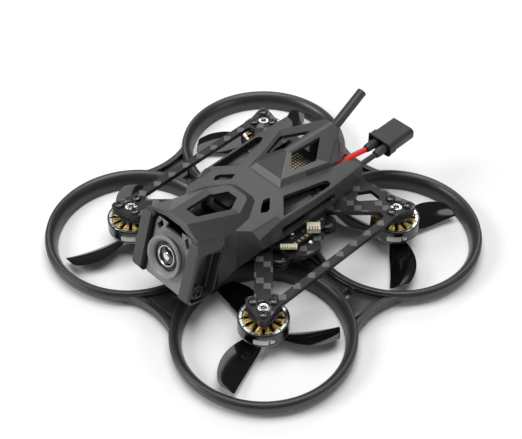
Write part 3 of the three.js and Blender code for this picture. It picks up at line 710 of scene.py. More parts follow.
def around_motor(name, radius):
    """Three places about a motor, one of them pointing away from the middle of the craft."""
    x, y = CORNERS[name]
    angles = [OUTWARD[name] + third * radians(120) for third in range(3)]
    return [(x + radius * cos(a), y + radius * sin(a)) for a in angles]


def motor_pad(name, size=1.0):
    """Outline of a motor's pad: a triangle with large round corners, one at each screw."""
    return rounded(around_motor(name, size * PAD_REACH), PAD_CORNER * size, 10)


def add_plate():
    low, high = PLATE_LOW, PLATE_TOP
    thing = raw_object("carbon_plate_detail", prism(rounded(whole(PLATE_EDGE), 1.0), low, high))
    half = ARM_WIDTH / 2
    for name, place in CORNERS.items():
        arm = prism(rectangle(12, -half, hypot(*place), half), low, high)
        carve(thing, arm.turned(OUTWARD[name]), "UNION")
        carve(thing, prism(motor_pad(name), low, high), "UNION")
    half = SIDE_BAR_WIDTH / 2
    bridge = rounded([(14, 29.9), (21.6, 31.3), (28.6, 31.4), (26, 26), (17, 18), (14, 22)], 0.8)
    for form in (block((SIDE_BAR_AT - half, -ARM, low), (SIDE_BAR_AT + half, ARM, high)),
                 prism(bridge, low, high), fillets(low, high)):
        carve(thing, both_sides(form), "UNION")
    carve(thing, both_sides(prism(rounded(LIGHT_WINDOW, 0.7), low - 1, high + 1)))
    slots = all_of(prism(rounded(rectangle(-9, front, 9, front + 2.6), 1.2), low - 1, high + 1)
                   for front in (-14, 12))
    carve(thing, discs(CORNERS.values(), 1.9, low - 1, high + 1, 40)
          + both_sides(disc(1.0, low - 1, high + 1, *STUD_AT, 24)) + slots)
    soften(thing, 0.14, angle=40)
    enlist(thing, "carbon_fibre", nodes=["carbon_plate"], even=True)


def fillets(low, high):
    """Concave webs where a side bar runs into the front and rear pads."""
    total = Form()
    edge = SIDE_BAR_AT - SIDE_BAR_WIDTH / 2 + 0.2
    for side in (-1, 1):
        outline = [(edge, side * (ARM - 7.6)), (edge - 0.5, side * (ARM - 6.1)),
                   (edge - 2.7, side * (ARM - 5.6)), (edge + 0.4, side * (ARM - 4))]
        total = total + prism(outline, low, high)
    return total


def add_ball_studs():
    """Bright stud through the plate on each side, held in the rubber under it."""
    profile = [(0, -1.9), (0.5, -1.9), (0.5, -0.1), (0.95, -0.1), (0.95, 0.35), (0.8, 0.75), (0.45, 1.0),
               (0, 1.1)]
    studs = both_sides(lathe(profile, 32).at(*STUD_AT, PLATE_TOP))
    add_piece("plate_studs", studs, "bright_steel", "motor_aluminium", smooth=50)


add_plate()
add_ball_studs()

# ---- motors
BELL_LOW, BELL_TOP = (corner.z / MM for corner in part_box("motor_bell_front_left"))
BELL_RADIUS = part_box("motor_bell_front_left")[1].x / MM - ARM
SHAFT_RADIUS = 0.75
TEETH = 12
MAGNETS = 14
CORE_LOW, CORE_HIGH, SHEETS = 7.8, 10.3, 5
RING_IN, RING_OUT = BELL_RADIUS - 1.35, BELL_RADIUS - 0.45


def pan_screw():
    """Mesh of a pan-head screw with its head's underside at height 0 and a crossed driver recess."""
    profile = [(0, -2.5), (0.45, -2.5), (0.62, -2.2), (0.62, -0.02), (1.36, -0.02), (1.4, 0.1), (1.4, 0.42),
               (1.32, 0.62), (1.14, 0.77), (0.9, 0.87), (0.45, 0.93), (0, 0.95)]
    thing = raw_object("screw", lathe(profile, 40))
    reach, width = 0.95, 0.21
    recess = skin([[(x, y, z) for x, y in rectangle(-long, -wide, long, wide)]
                   for long, wide, z in ((reach * 0.75, width * 0.8, -0.6), (reach, width, 0.3))]).at(z=0.86)
    carve(thing, recess)
    carve(thing, recess.turned(pi / 2))
    mesh = thing.data
    bpy.data.objects.remove(thing)
    return mesh


def motor_base(name):
    """Black three-cornered foot under the plate, a skirt and the tube that holds the bearings."""
    foot = prism(motor_pad(name, 0.97), PLATE_LOW - 1.3, PLATE_LOW - 0.02)
    skirt = lathe([(1.1, 7.2), (2.2, 7.2), (2.2, 11.3), (3.4, 11.9), (4.4, PLATE_LOW - 1.35),
                   (4.4, PLATE_LOW - 1.2), (1.1, PLATE_LOW - 1.2)], 40)
    return foot + skirt.at(*CORNERS[name])


def bearing():
    """Ball bearing seen through the plate: a bright outer ring, a dark shield and an inner ring."""
    low, top = 12.2, PLATE_TOP - 0.55
    outer = lathe([(1.35, low), (1.86, low), (1.86, top - 0.1), (1.76, top), (1.35, top)], 40)
    inner = lathe(rectangle(0.85, low, 1.1, top - 0.03), 40)
    shield = lathe(rectangle(1.05, low + 0.1, 1.4, top - 0.08), 40)
    return outer + inner + shield


def stator_core():
    """Laminated star of teeth, each with a flared foot next to the magnets."""
    half = [(3.4, -0.5), (3.6, -0.16), (5.4, -0.16), (5.7, -0.38), (6.0, -0.4)]
    tooth = half + [(6.0, 0.4), (5.7, 0.38), (5.4, 0.16), (3.6, 0.16)]
    polar = [(radius, (k + part) * 2 * pi / TEETH) for k in range(TEETH) for radius, part in tooth]
    outline = [(radius * cos(angle), radius * sin(angle)) for radius, angle in polar]
    thickness = (CORE_HIGH - CORE_LOW) / SHEETS
    return all_of(prism(outline, CORE_LOW + k * thickness, CORE_LOW + (k + 0.86) * thickness)
                  for k in range(SHEETS))


def insulation():
    """Pale coating on the top of every tooth: a narrow bar that widens at the rim, and a crest."""
    bar = prism([(3.6, -0.17), (5.35, -0.17), (5.6, -1.05), (5.98, -1.15), (5.98, 1.15), (5.6, 1.05),
                 (5.35, 0.17), (3.6, 0.17)], 10.32, 10.55)
    crest = prism(rectangle(3.5, -0.2, 5.4, 0.2), 10.85, 11.12)
    return all_of((bar + crest).turned(2 * pi * tooth / TEETH) for tooth in range(TEETH))


def coils():
    """Windings: on each tooth, turns of wire that stand proud above and below the core."""
    total = Form()
    centre = 9.08
    for turn in range(7):
        reach, wide = 3.7 + 0.27 * turn, 0.4 + 0.075 * turn
        loop = rounded(rectangle(-wide, 7.35, wide, 10.8), 0.45, 3)
        rings = []
        for a in (2 * pi * k / 6 for k in range(6)):
            grow = 0.15 * cos(a)
            rings.append([(reach + 0.15 * sin(a), x * ((wide + grow) / wide),
                           centre + (z - centre) * (1 + grow / 1.7)) for x, z in loop])
        total = total + skin(rings, looped=True)
    return all_of(total.turned(2 * pi * tooth / TEETH) for tooth in range(TEETH))


def lead_out_wires(name):
    """Three phase wires that run from the coils along the arm."""
    wires = all_of(tube(smooth_route([(4.2, 0.9 * k, 10.9), (6, 0.75 * k, 11.6), (8.5, 0.7 * k, 12.7),
                                      (12.5, 0.7 * k, 12.9)], 12), 0.32, 10) for k in (-1, 0, 1))
    return wires.turned(OUTWARD[name] + pi).at(*CORNERS[name])


def bell_lathe(profile):
    """A part of a bell, from (radius, height) pairs counted from its full radius and its underside."""
    return lathe([(BELL_RADIUS + r, BELL_LOW + z) for r, z in profile], 96)


def bell_shell():
    """Turned cup: rounded floor edge, an engraved line and a bright top rim."""
    wall, floor, top = -0.43, 0.8, BELL_TOP - BELL_LOW
    bore = SHAFT_RADIUS + 0.05 - BELL_RADIUS
    return bell_lathe([(bore, 0), (3 - BELL_RADIUS, 0), (-0.75, 0), (-0.35, 0.12), (-0.12, 0.35), (0, 0.75),
                       (0, 0.95), (-0.08, 1.02), (-0.08, 1.1), (0, 1.17), (0, top - 0.2), (-0.12, top - 0.02),
                       (wall, top - 0.02), (wall, floor), (bore, floor)])


def bell_foot():
    """Bronze edge round the bottom of the bell."""
    return bell_lathe([(-0.8, -0.02), (-0.3, 0.1), (-0.06, 0.36), (0.02, 0.72), (-0.1, 0.74), (-0.9, 0.2)])


def bell_ring():
    """Bright steel flux ring inside the top of the bell."""
    return lathe([(RING_IN, BELL_LOW + 1.4), (RING_OUT, BELL_LOW + 1.4), (RING_OUT, BELL_TOP - 0.1),
                  (RING_OUT - 0.08, BELL_TOP - 0.02), (RING_IN + 0.1, BELL_TOP - 0.02),
                  (RING_IN, BELL_TOP - 0.12)], 96)


def curved_block(inner, outer, start, end, low, high, count):
    """A block bent about the motor's axis, between two angles."""
    return prism(arc(outer, start, end, count=count) + arc(inner, end, start, count=count), low, high)


def magnet_gap_shade():
    """Dark blocks painted into the ring as the shade in the gaps between the magnets, where they show at the
    inner edge of the ring.
    """
    pitch = 2 * pi / MAGNETS
    return all_of(curved_block(RING_IN - 0.03, RING_OUT - 0.12, (k - 0.07) * pitch, (k + 0.07) * pitch,
                               BELL_LOW + 1.5, BELL_TOP + 0.01, 4) for k in range(MAGNETS))


def bell_marks(heading=radians(-45)):
    """A plain block, line and dot printed on the side of a bell as generic marks, with no lettering."""
    return all_of(curved_block(BELL_RADIUS - 0.085, BELL_RADIUS + 0.015, heading + start, heading + end,
                               BELL_LOW + low, BELL_LOW + high, 14)
                  for start, end, low, high in ((-0.4, 0.2, 1.3, 2.9), (-0.36, 0.34, 3.1, 3.3),
                                                (0.26, 0.44, 1.6, 2.75)))


def add_motor(name, screw, coil_form):
    x, y = CORNERS[name]
    screws = around_motor(name, SCREW_CIRCLE)
    hole = discs(screws, 0.9, 10, 15, 20) + disc(1.98, PLATE_LOW - 1.6, 15, x, y, 32)
    add_piece(f"motor_base_detail_{name}", motor_base(name), "motor_black", "motor_aluminium", bevel=0.12,
              holes=[hole], nodes=[f"motor_base_{name}"])
    add_piece(f"motor_bearing_{name}", bearing().at(x, y), "bright_steel", "motor_aluminium", bevel=0.05)
    add_piece(f"stator_core_{name}", stator_core().at(x, y), "motor_aluminium")
    add_piece(f"motor_base_rim_{name}", prism(motor_pad(name, 0.985), PLATE_LOW - 1.55, PLATE_LOW - 1.32),
              "bronze", "motor_aluminium", holes=[disc(4.2, 10, 15, x, y, 40)])
    add_piece(f"stator_insulation_{name}", insulation().at(x, y), "pale_insulation", "copper_winding")
    add_piece(f"windings_{name}", coil_form.at(x, y) + lead_out_wires(name), "copper_winding",
              nodes=[f"motor_stator_{name}"])
    add_piece(f"bell_shell_{name}", bell_shell().at(x, y), "motor_bell_metal", body=f"rotor_{name}",
              nodes=[f"motor_bell_{name}"], smooth=25)
    add_piece(f"bell_ring_{name}", bell_ring().at(x, y), "bright_steel", "motor_aluminium",
              body=f"rotor_{name}", smooth=25)
    # The dark blocks between the magnets are painted shade.
    for piece, form, look, slot in (("magnet_gap_shade", magnet_gap_shade(), "camera_dark", "motor_bell_metal"),
                                    ("bell_foot", bell_foot(), "bronze", "motor_bell_metal"),
                                    ("bell_marks", bell_marks(), "patch_white", "connector_cream")):
        add_piece(f"{piece}_{name}", form.at(x, y), look, slot, body=f"rotor_{name}")
    dress(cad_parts[f"motor_shaft_{name}"], "bright_steel")
    for k, place in enumerate(screws, 1):
        head = linked(bpy.data.objects.new(f"screw_detail_{name}_{k}", screw.copy()))
        turn = Matrix.Rotation(0.4 + 1.1 * k, 4, "Z")
        place_mesh(head.data, Matrix.Translation((*place, PLATE_TOP + 0.03)) @ turn)
        enlist(head, "dark_steel", nodes=[f"motor_screw_{name}_{k}"], smooth=40)


SCREW, COILS = pan_screw(), coils()
for motor in CORNERS:
    add_motor(motor, SCREW, COILS)

# ---- propellers
PROP_LEVEL = 3.2
# Stations of a blade: radius, chord, pitch in degrees, sweep of the middle, thickness.
BLADE = [
    (1.5, 3.6, 38, 0.0, 1.5), (3.5, 4.8, 35, 0.2, 1.25), (6, 6.6, 31, 0.6, 1.0), (9, 7.9, 27, 0.9, 0.85),
    (12, 8.6, 23, 1.0, 0.75), (15, 8.7, 20, 0.7, 0.68), (18, 8.1, 17, 0.0, 0.6), (20.2, 7.1, 15, -0.9, 0.55),
    (21.6, 6.1, 13.5, -1.7, 0.5), (22.1, 5.5, 13, -2.0, 0.42),
]
CAMBER = 0.075


def blade_ring(radius, chord, pitch, sweep, thickness, spin, count=14):
    """Aerofoil section: round leading edge, thin trailing edge, cambered, turned to its pitch."""
    tilt = radians(pitch)
    ring = []
    for angle in (2 * pi * i / count for i in range(count)):
        along = -0.5 * cos(angle)
        share = along + 0.5
        shape = 2.2 * sqrt(max(share, 0)) * (1 - share) ** 0.9
        rise = 0.5 * thickness * max(shape, 0.16) * sin(angle) + CAMBER * chord * (1 - 4 * along ** 2) * 0.5
        across = along * chord
        ring.append((radius, spin * (sweep + across * cos(tilt) - rise * sin(tilt)),
                     PROP_LEVEL + across * sin(tilt) + rise * cos(tilt)))
    return ring


def add_propeller(name):
    x, y = CORNERS[name]
    spin = 1 if x * y > 0 else -1
    blade = skin([blade_ring(*station, spin) for station in BLADE])
    blades = all_of(blade.turned(radians(120 * k)) for k in range(3))
    thing = raw_object(f"propeller_detail_{name}", blades.turned(radians(PROP_HEADING[name])).at(x, y))
    modify(thing, "SUBSURF", levels=2, render_levels=2)
    bore, top = SHAFT_RADIUS + 0.05, BELL_LOW - 0.15
    profile = [(bore, 1.05), (2.5, 1.05), (2.9, 1.3), (3, 1.7), (3, 5.5), (2.8, top), (bore, top)]
    cap = raw_object("cap", lathe(profile, 40).at(x, y))
    soften(cap, 0.15)
    join_objects(thing, cap)
    enlist(thing, "propeller_plastic", body=f"rotor_{name}", nodes=[f"propeller_{name}"], smooth=50)


for motor in CORNERS:
    add_propeller(motor)

# ---- camera
# Drawn as (x, forward, up) from the camera's pivot, then tilted with the camera.
LENS_UP = 6.7


def on_face(outline, back, front):
    """A flat outline of (x, up) pairs on the camera's face, between two forward distances."""
    return facing(prism(outline, back, front))


def facing(form):
    """Turns a form drawn upright about Z so that its +Z looks forward along the camera's view."""
    return form.moved(TILTED @ Matrix.Rotation(pi / 2, 4, "X"))


def about_lens(profile):
    return facing(lathe(profile, 96).at(0, LENS_UP, 0))


def add_camera_piece(name, form, look, slot="camera_plastic", **settings):
    add_piece(f"camera_{name}", form, look, slot, body="camera", **settings)


def add_bezel():
    face = rounded(whole([(7.5, -3.4), (7.5, 14.4), (6.8, 16.1), (2.7, 17.7)]), 0.8)
    holes = [about_lens(rectangle(0, -1, 5.15, 5)),
             on_face(rounded([(-3.5, 14.2), (3.5, 14.2), (2.8, 16.5), (-2.8, 16.5)], 0.5), -1, 5)]
    for side in (-1, 1):
        slant = [(side * 4.4, 14.4), (side * 5.3, 16), (side * 6.9, 13.3), (side * 5.8, 12.1)]
        holes.append(on_face(rounded(slant, 0.25), -1, 5))
    add_camera_piece("bezel_detail", on_face(face, 0.9, 2), "camera_plastic", bevel=0.16, segments=3,
                     holes=holes, nodes=["camera_bezel"])
    seat = [(5.15, 1.2), (5.9, 1.2), (6.35, 2.0), (6.2, 2.4), (5.7, 2.45), (5.15, 2.2)]
    add_camera_piece("lens_seat", about_lens(seat), "camera_plastic")


def add_housing():
    body = on_face(rounded(rectangle(-7, -2.8, 7, 12.4), 0.9), -6.5, 0.5)
    ribs = all_of(on_face(rectangle(-7.15, up, 7.15, up + 0.5), -6.2, 0) for up in (0.5, 3.5, 6.5, 9.5))
    add_camera_piece("housing", body + ribs, "camera_dark", bevel=0.15, nodes=["camera_body"])


def bulge(radius, base, rise, step, first, last):
    """Points up a dome from near its rim to near its top, at every step in degrees."""
    return [(radius * cos(a), base + rise * sin(a)) for a in (radians(step * k) for k in range(first, last))]


def add_lens():
    flare = [(4.6, 0.95), (4.9, 0.95), (4.9, 2.2), (5.6, 2.75), (6.3, 3.5), (6.5, 3.75), (6.5, 4.2),
             (6.38, 4.5), (6.05, 4.6), (5.75, 4.52), (5.2, 4.05), (4.8, 3.6), (4.6, 3.1)]
    groove = [(2.9, 1.4), (4.62, 1.4), (4.62, 3.2), (4.4, 3.05), (4.3, 2.7), (4.0, 2.65), (3.9, 3.05),
              (3.72, 3.2), (3.42, 3.2), (3.3, 2.9), (2.9, 2.8)]
    ring = [(2.86, 2.35), (3.32, 2.35), (3.3, 3.05), (3.18, 3.22), (3.02, 3.22), (2.86, 3.0)]
    dome = [(0, 1.2), (2.88, 1.2), (2.88, 2.3)] + bulge(2.88, 2.3, 0.95, 7.5, 1, 12) + [(0, 3.25)]
    # A bright metal dome sits in the middle of the glass as a painted reflection.
    inner = [(0, 2.6), (1.3, 2.6)] + bulge(1.3, 3.05, 0.4, 10, 0, 9) + [(0, 3.45)]
    add_camera_piece("lens_barrel_detail", about_lens(flare), "camera_plastic", nodes=["camera_lens_barrel"])
    add_camera_piece("lens_groove", about_lens(groove), "lens_black")
    add_camera_piece("lens_ring", about_lens(ring), "bright_steel", "motor_aluminium")
    add_camera_piece("lens_front", about_lens(dome), "lens_glass", "lens_glass", nodes=["camera_lens_glass"],
                     smooth=60)
    # Painted reflection on the glass, drawn as a bright dome.
    add_camera_piece("lens_reflection_dome", about_lens(inner), "motor_aluminium", "lens_glass", smooth=60)


def add_pivot_screws():
    profile = [(0, -5), (0.6, -5), (0.6, 0), (1.65, 0), (1.7, 0.1), (1.7, 0.75), (1.6, 0.95), (1.3, 1.1),
               (0, 1.1)]
    for side, name in ((1, "left"), (-1, "right")):
        turn = Matrix.Translation((side * 11.1, 0, 0)) @ Matrix.Rotation(side * pi / 2, 4, "Y")
        add_piece(f"pivot_screw_detail_{name}", lathe(profile, 48), "motor_black", "dark_steel",
                  holes=[disc(0.75, 0.3, 2, sides=6)], place=TILTED @ turn, body="camera",
                  nodes=[f"camera_pivot_screw_{name}"])


add_bezel()
add_housing()
add_lens()
add_pivot_screws()

# ---- electronics
BOARD_LOW = PLATE_TOP + 0.9
VIDEO_LOW, VIDEO_HIGH = PLATE_TOP + 7, PLATE_TOP + 8.4
VIAS = [(side * 19.1, y) for side in (-1, 1) for y in (-6, -4.4, -2.8, -1.2, 0.4)]
# Chips on the flight controller: place, width and height.
CHIPS = [((-8, -7), 6.4, 0.9), ((3, -8), 5, 0.8), ((-3, 3), 7, 1.0), ((9, -3), 3, 0.7), ((-13, 0), 3, 0.8),
         ((13.4, 4.6), 2.2, 0.9), ((14.4, -9), 1.6, 0.6), ((17.4, -0.9), 1.2, 0.6), ((12.4, -0.4), 1.6, 0.6)]


def add_flight_controller():
    outline = rounded(whole([(13.6, -13.4), (20, -7.4), (20, 5.6), (14, 13), (5, 15)]), 0.8)
    thing = raw_object("flight_controller_detail", prism(outline, BOARD_LOW, BOARD_TOP))
    carve(thing, discs(VIAS, 0.35, BOARD_LOW - 1, BOARD_TOP + 1, 12))
    feet = discs(((11.5, -9), (11.5, 9.5), (-11.5, -9), (-11.5, 9.5)), 1.5, PLATE_TOP + 0.02, BOARD_LOW, 24)
    extra = raw_object("board_extra", feet + block((14.9, -5.9, BOARD_TOP), (17.5, -3.3, BOARD_TOP + 0.5)))
    soften(extra, 0.1)
    join_objects(thing, extra)
    enlist(thing, "circuit_board", nodes=["flight_controller"])
    cans = discs(((10.7, 10.6), (10.8, 12.9)), 0.95, BOARD_TOP, PLATE_TOP + 5.2, 28)
    add_piece("board_capacitors", cans, "gold_shield", bevel=0.15)
    chips = all_of(pads([place], size, BOARD_TOP, BOARD_TOP + tall) for place, size, tall in CHIPS)
    add_piece("board_chips", chips, "camera_dark", "circuit_board", bevel=0.08)
    solder = pads(VIAS, 0.9, BOARD_TOP, BOARD_TOP + 0.06)
    corners = [(side * 17.6, y) for side in (-1, 1) for y in (5.6, 7.0)]
    add_piece("board_pads", solder + pads(corners, 0.8, BOARD_TOP, BOARD_TOP + 0.06), "gold_shield")


def add_video_board():
    top = VIDEO_LOW + 0.8
    sheet = prism(rounded(rectangle(-9.5, 0, 9.5, 21), 0.8), VIDEO_LOW, top)
    feet = discs(((8.2, 2), (8.2, 17.5), (-8.2, 2), (-8.2, 17.5)), 1.2, BOARD_TOP + 0.02, VIDEO_LOW, 24)
    add_piece("video_board_detail", sheet + feet, "circuit_board", nodes=["video_board"], bevel=0.08)
    shield = prism(rounded(rectangle(-3.4, 4, 7.6, 18.6), 0.6), top, VIDEO_HIGH)
    add_piece("video_shield", shield, "circuit_board", bevel=0.15)
    grid = [(-2.6 + 0.95 * i, 4.9 + 0.95 * k) for i in range(11) for k in range(14)]
    add_piece("video_shield_dots", discs(grid, 0.27, VIDEO_HIGH - 0.2, VIDEO_HIGH + 0.05, 10), "gold_shield")
    grid = [(-8.4 + 1.15 * i, 5.4 + 1.15 * k) for i in range(4) for k in range(5)]
    add_piece("video_board_pads", pads(grid, 0.8, top, top + 0.12), "gold_shield")


def add_connector(name, place, length, height, pins, back):
    """Board socket: an open-fronted nylon shell with a slot over each of its pins."""
    end = length / 2
    places = [-end + length * (k + 1) / (pins + 1) for k in range(pins)]
    inside = block((-end + 0.35, -2, 0.3), (end - 0.35, back - 0.7, height - 0.28))
    slots = all_of(block((x - 0.14, -1.7, height - 0.4), (x + 0.14, -0.2, height + 0.2)) for x in places)
    contacts = all_of(block((x - 0.12, -1.45, 0.35), (x + 0.12, back - 0.75, 0.55)) for x in places)
    turn = Matrix.Translation((*place, BOARD_TOP)) @ Matrix.Rotation(pi / 4, 4, "Z")
    add_piece(f"{name}_detail", block((-end, -1.5, 0), (end, back, height)), "connector_cream", bevel=0.06,
              holes=[inside, slots], place=turn, nodes=[name])
    add_piece(f"{name}_pins", contacts.moved(turn), "gold_shield")


def add_button():
    low, high = box("boot_button")
    cap = lathe([(0, low.z), (0.78, low.z), (0.78, high.z - 0.2), (0.66, high.z - 0.04), (0.4, high.z),
                 (0, high.z)], 32).at((low.x + high.x) / 2, (low.y + high.y) / 2)
    add_piece("boot_button_cap", cap, "bright_steel", "motor_aluminium", body="boot_button",
              nodes=["boot_button"])


def add_antenna():
    foot = Vector((0, 29, PLATE_TOP + 11.6))
    radius, along = 1.55, ANTENNA_TIP - foot
    end = along.length
    profile = [(0, 0), (radius, 0), (radius, end - 0.35), (radius - 0.12, end - 0.1),
               (radius - 0.35, end - 0.02), (radius - 0.42, end - 0.25), (0, end - 0.3)]
    tilt = along.to_track_quat("Z", "Y").to_matrix().to_4x4()
    form = lathe(profile, 48).moved(Matrix.Translation(foot) @ tilt)
    add_piece("antenna_sleeve", form, "antenna_plastic", nodes=["antenna_tube"])


add_flight_controller()
add_video_board()
add_connector("receiver_connector", (18.4, -8), 5, 0.9, 6, 0)
add_connector("light_connector", (18.9, 2), 4, 1.7, 4, 1.5)
add_button()
add_antenna()

# ---- canopy
WALL = 1.2
GUARD_OUT, GUARD_IN, GUARD_FRONT, GUARD_BACK = 12.2, 8.2, 4, -6.4
POCKET_DEPTH = 2.8
LIP_FRONT = 3.4


def hood(x, forward, up):
    """A place given from the camera's pivot, as a place above the plate."""
    place = TILTED @ Vector((x, -forward, up))
    return place.x, place.y, place.z - PLATE_TOP


# Corners of the left half: x, y and height above the plate.
SKIN = {
    "lip": hood(3.4, LIP_FRONT, 19),
    "shoulder": hood(10.2, LIP_FRONT, 17.8),
    "shoulder_rear": hood(10.8, GUARD_BACK, 17),
    "guard_top": hood(GUARD_OUT, LIP_FRONT, 14.6),
    "guard_rear": hood(GUARD_OUT, GUARD_BACK, 14.8),
    "crest": (3.6, -33.9, 18.5),
    "rise": (7.1, -16.6, 13.35),
    "brow": (4.5, -11.3, 13.3),
    "brow_in": (3.0, -10.4, 13.25),
    "foot": (10.6, -22, 12.3),
    "foot_side": (9.4, -15.4, 11.8),
    "foot_rear": (5.3, -9.0, 11.4),
    "foot_in": (3.3, -7.9, 11.4),
    "neck": (13.5, -18.2, 11.6),
    "neck_out": (15.1, -17.0, 7.9),
    "deck_side": (13.6, -8.7, 11.0),
    "rail_front": (15.8, -8, 10.7),
    "rail_middle": (16.3, 4, 10.3),
    "rail_rear": (16.4, 14, 10.1),
    "wing_tip": (16.0, 26.3, 10.2),
    "wing_notch": (12.9, 25.6, 10.5),
    "wing_in": (10.9, 23.6, 10.5),
    "hump_foot": (6.5, 0.4, 11.3),
    "hump_edge": (5.5, 1.9, 13.05),
    "apex": (0.6, 9.5, 16.1),
    "ridge_rear": (0.6, 30, 15.1),
    "eave": (7.94, 9.5, 13.17),
    "eave_rear": (10.5, 17.5, 13.3),
    "eave_tail": (5.5, 25.9, 14.1),
    "eave_end": (3.3, 29.8, 14.45),
    "side_foot": (8.65, 9.5, 11.15),
    "side_foot_rear": (10.9, 19, 11),
    "tail_foot": (9.6, 23.2, 10.2),
    "tail_end": (6.0, 30.4, 5.6),
    "hem_front": (12.3, -33.0, -3.4),
    "hem_nose": (13.0, -24, -0.3),
    "hem_neck": (14.7, -16, 2.4),
    "hem_rail": (16.5, -8, 3.5),
    "hem_middle": (16.9, 13.6, 3.4),
    "hem_tail": (16.4, 26.6, 4.2),
}
HALF_PANELS = [
    "lip shoulder crest", "crest shoulder shoulder_rear", "shoulder guard_top guard_rear shoulder_rear",
    "crest shoulder_rear foot rise", "rise foot foot_side foot_rear brow",
    "brow foot_rear foot_in brow_in", "foot neck deck_side hump_foot foot_in foot_rear foot_side",
    "neck neck_out rail_front deck_side",
    "deck_side rail_front rail_middle side_foot hump_foot", "rail_middle rail_rear side_foot_rear side_foot",
    "rail_rear wing_tip wing_notch wing_in side_foot_rear", "hump_foot side_foot eave hump_edge",
    "side_foot side_foot_rear eave_rear eave", "side_foot_rear tail_foot eave_tail eave_rear",
    "tail_foot tail_end eave_end eave_tail", "hump_edge eave eave_rear apex",
    "apex eave_rear eave_tail eave_end ridge_rear",
    "guard_rear hem_front hem_nose foot shoulder_rear", "foot hem_nose hem_neck neck_out neck",
    "neck_out hem_neck hem_rail rail_front", "rail_front hem_rail hem_middle rail_rear rail_middle",
    "rail_rear hem_middle hem_tail wing_tip",
]
# Panels across the middle, by the corners of their left side from front to rear.
MIDDLE_PANELS = [
    "lip crest", "crest rise", "rise brow brow_in", "brow_in foot_in", "foot_in hump_foot",
    "hump_foot hump_edge", "hump_edge apex", "apex ridge_rear", "ridge_rear eave_end tail_end",
]


def canopy_skin():
    left = [Vector((x, y, z + PLATE_TOP)) for x, y, z in SKIN.values()]
    right = [Vector((-point.x, point.y, point.z)) for point in left]
    count = len(SKIN)
    where = {name: i for i, name in enumerate(SKIN)}
    faces = []
    for panel in HALF_PANELS:
        loop = [where[name] for name in panel.split()]
        faces += [loop, [i + count for i in reversed(loop)]]
    for panel in MIDDLE_PANELS:
        loop = [where[name] for name in panel.split()]
        faces.append(loop + [i + count for i in reversed(loop)])
    return Form(left + right, faces)


def window(outline, radius, low, high):
    """A round-cornered hole through the canopy, between two heights above the plate."""
    return prism(rounded(outline, radius), PLATE_TOP + low, PLATE_TOP + high)


def add_canopy():
    shell = raw_object("canopy_detail", canopy_skin())
    modify(shell, "SOLIDIFY", thickness=WALL * MM, offset=-1, use_even_offset=True)
    soften(shell, 0.25, 2, 10)
    front = window(whole([(2.2, -28.9), (4.4, -17.8), (1.9, -12.8)]), 0.5, 8, 22)
    deck = window([(6.6, -6.8), (7.3, -4.6), (10.6, -8.1), (10.9, -9.6), (9.9, -11.2), (8, -8.9)],
                  0.25, 8, 14)
    side = window([(15.1, -6.9), (9.3, -1.1), (12.9, 12), (13.6, 13.3), (14.9, 13.4), (15.5, 12)],
                  [0.3, 0.4, 0.8, 0.6, 0.6, 0.8], 8, 14)
    roof = window([(1.5, 10.4), (1.9, 22.4), (7.7, 14.5), (5.3, 6)], [0.4, 0.4, 0.7, 0.5], 11.5, 18)
    groove = on_side([(GUARD_BACK, -3), (GUARD_BACK, 16.2), (GUARD_BACK - 0.9, 16.2), (GUARD_BACK - 0.9, -3)],
                     GUARD_OUT - 0.9, GUARD_OUT + 3)
    slot = skin([[(x, -8.4, 5.1), (x, -7.9, 4.6), (x, 13, 4.4), (x, 13.5, 4.9), (x, 13.5, 6.8), (x, 13, 7.3),
                  (x, -8, 7.5), (x, -8.4, 7.1)] for x in (14, 19)]).at(z=PLATE_TOP)
    for hole in (front, both_sides(deck), both_sides(side), both_sides(roof), antenna_bore(),
                 both_sides(groove), both_sides(slot)):
        carve(shell, hole)
    add_hood(shell)
    enlist(shell, "canopy_plastic", nodes=["canopy"], smooth=50, even=True)


def antenna_bore():
    """The place the antenna takes up where it leaves the canopy."""
    return tube([(0, 26, PLATE_TOP + 9.9), ANTENNA_TIP], 1.62, 32)


def guard_profile(inset):
    """Outline of a guard as (forward, up) pairs, drawn in towards its middle by about the inset."""
    outline = [(GUARD_FRONT, -2.2), (2.4, -3.8), (-3.6, -3.9), (-5.8, -3), (GUARD_BACK, -1.4),
               (GUARD_BACK, 16.8), (GUARD_FRONT - 0.8, 17.0), (GUARD_FRONT, 16.4)]
    middle = Vector((-1.2, 6.5))
    drawn = [middle + (Vector(point) - middle) * (1 - inset / 6) for point in outline]
    return rounded(drawn, [0.8, 0.8, 1.5, 1.2, 1.2, 0.3, 0.4, 0.4], 4)


def side_plate(outlines):
    """A plate across X through outlines of (forward, up) pairs from the camera's pivot."""
    return skin([[(x, -forward, up) for forward, up in outline] for x, outline in outlines]).moved(TILTED)


def on_side(outline, low, high):
    return side_plate([(low, outline), (high, outline)])


def camera_guard():
    """Side of the hood: a thick plate whose outer edge is rounded off."""
    steps = [(GUARD_IN, 0.0), (GUARD_OUT - 1.0, 0.0), (GUARD_OUT - 0.5, 0.12), (GUARD_OUT - 0.15, 0.42),
             (GUARD_OUT, 0.85)]
    return side_plate([(x, guard_profile(inset)) for x, inset in steps])


def guard_pocket():
    outline = [(3.1, -1.7), (1.9, -2.8), (-3.5, -2.9), (-5.3, -1.7), (-5.3, 13.1), (0.6, 13.9), (3.1, 9.8)]
    radii = [0.4, 0.4, 0.9, 0.9, 0.4, 0.8, 2.5]
    return on_side(rounded(outline, radii), GUARD_OUT - POCKET_DEPTH, GUARD_OUT + 1)


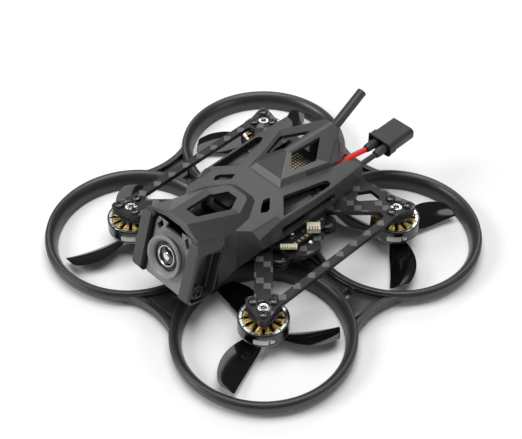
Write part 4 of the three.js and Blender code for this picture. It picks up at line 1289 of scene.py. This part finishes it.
def guard_bosses():
    """Raised ring round the pivot and the ribs in the pocket."""
    ring = lathe([(1.3, -1.8), (2.3, -1.8), (2.3, -0.75), (1.9, -0.6), (1.3, -0.6)], 40)
    inner = GUARD_OUT - POCKET_DEPTH - 0.05
    panel = on_side(rounded([(1.2, 3.2), (-0.2, 3.2), (-0.2, 10.4), (1.2, 11.2)], 0.3), inner, inner + 1.2)
    rib = on_side(rectangle(-4.1, 0.4, -3.4, 12.2), inner, inner + 1.5)
    bar = on_side([(2.2, 2.2), (-2.4, 3.0), (-2.4, 3.6), (2.2, 2.8)], inner, inner + 0.5)
    return ring.turned(pi / 2, "Y").at(GUARD_OUT).moved(TILTED) + panel + rib + bar


def add_hood(shell):
    """Camera guards, the arch across the camera's face and the bosses on the guards."""
    inner = [(GUARD_IN, 13.6), (GUARD_IN, 15.2), (7.4, 17), (3, 18.3)]
    outer = [(3.4, 18.95), (10.2, 17.8), (GUARD_OUT - 0.1, 14.7), (GUARD_OUT - 0.1, 13.6)]
    arch = whole(inner) + [(-x, up) for x, up in reversed(outer)] + outer
    front = raw_object("arch", on_face(arch, 1.8, LIP_FRONT))
    soften(front, 0.45, 3)
    guards = raw_object("guards", both_sides(camera_guard()))
    slant = on_face([(GUARD_OUT + 0.05, 14.55), (10.15, 17.85), (10.1, 21), (14, 21), (14, 14.55)], -9, 9)
    bore = tube([(-14, *CAMERA_PIVOT.yz), (14, *CAMERA_PIVOT.yz)], 1.25, 24)
    for hole in (both_sides(guard_pocket()), both_sides(slant), bore):
        carve(guards, hole)
    soften(guards, 0.2, 2, 40)
    bosses = raw_object("bosses", both_sides(guard_bosses()))
    soften(bosses, 0.1)
    join_objects(shell, front, guards, bosses)


def add_linings():
    """Dark ledges under the side windows, a foam sheet under the hood and a web that holds the antenna."""
    ledges = both_sides(window([(7.6, 0.4), (14.1, -5.7), (14.5, 6), (11.2, 8)], 0.4, 8.3, 8.8))
    outline = whole([(10.5, -28.5), (13, -22), (13.9, -15), (13.7, -10.5)])
    sheet = prism(outline, PLATE_TOP + 0.02, PLATE_TOP + 0.5)
    profile = [(-6.1, 0.3), (-6.1, 7.3), (-4.2, 12.6), (4.2, 12.6), (5.1, 10), (5.1, 0.3)]
    web = skin([[(x, y, PLATE_TOP + z) for x, z in profile] for y in (26.6, 27.6)])
    add_piece("canopy_ledges", ledges, "damper_rubber", bevel=0.1)
    add_piece("canopy_foam", sheet, "damper_rubber", bevel=0.1)
    add_piece("antenna_web", web, "damper_rubber", bevel=0.15, holes=[antenna_bore()])


add_canopy()
add_linings()
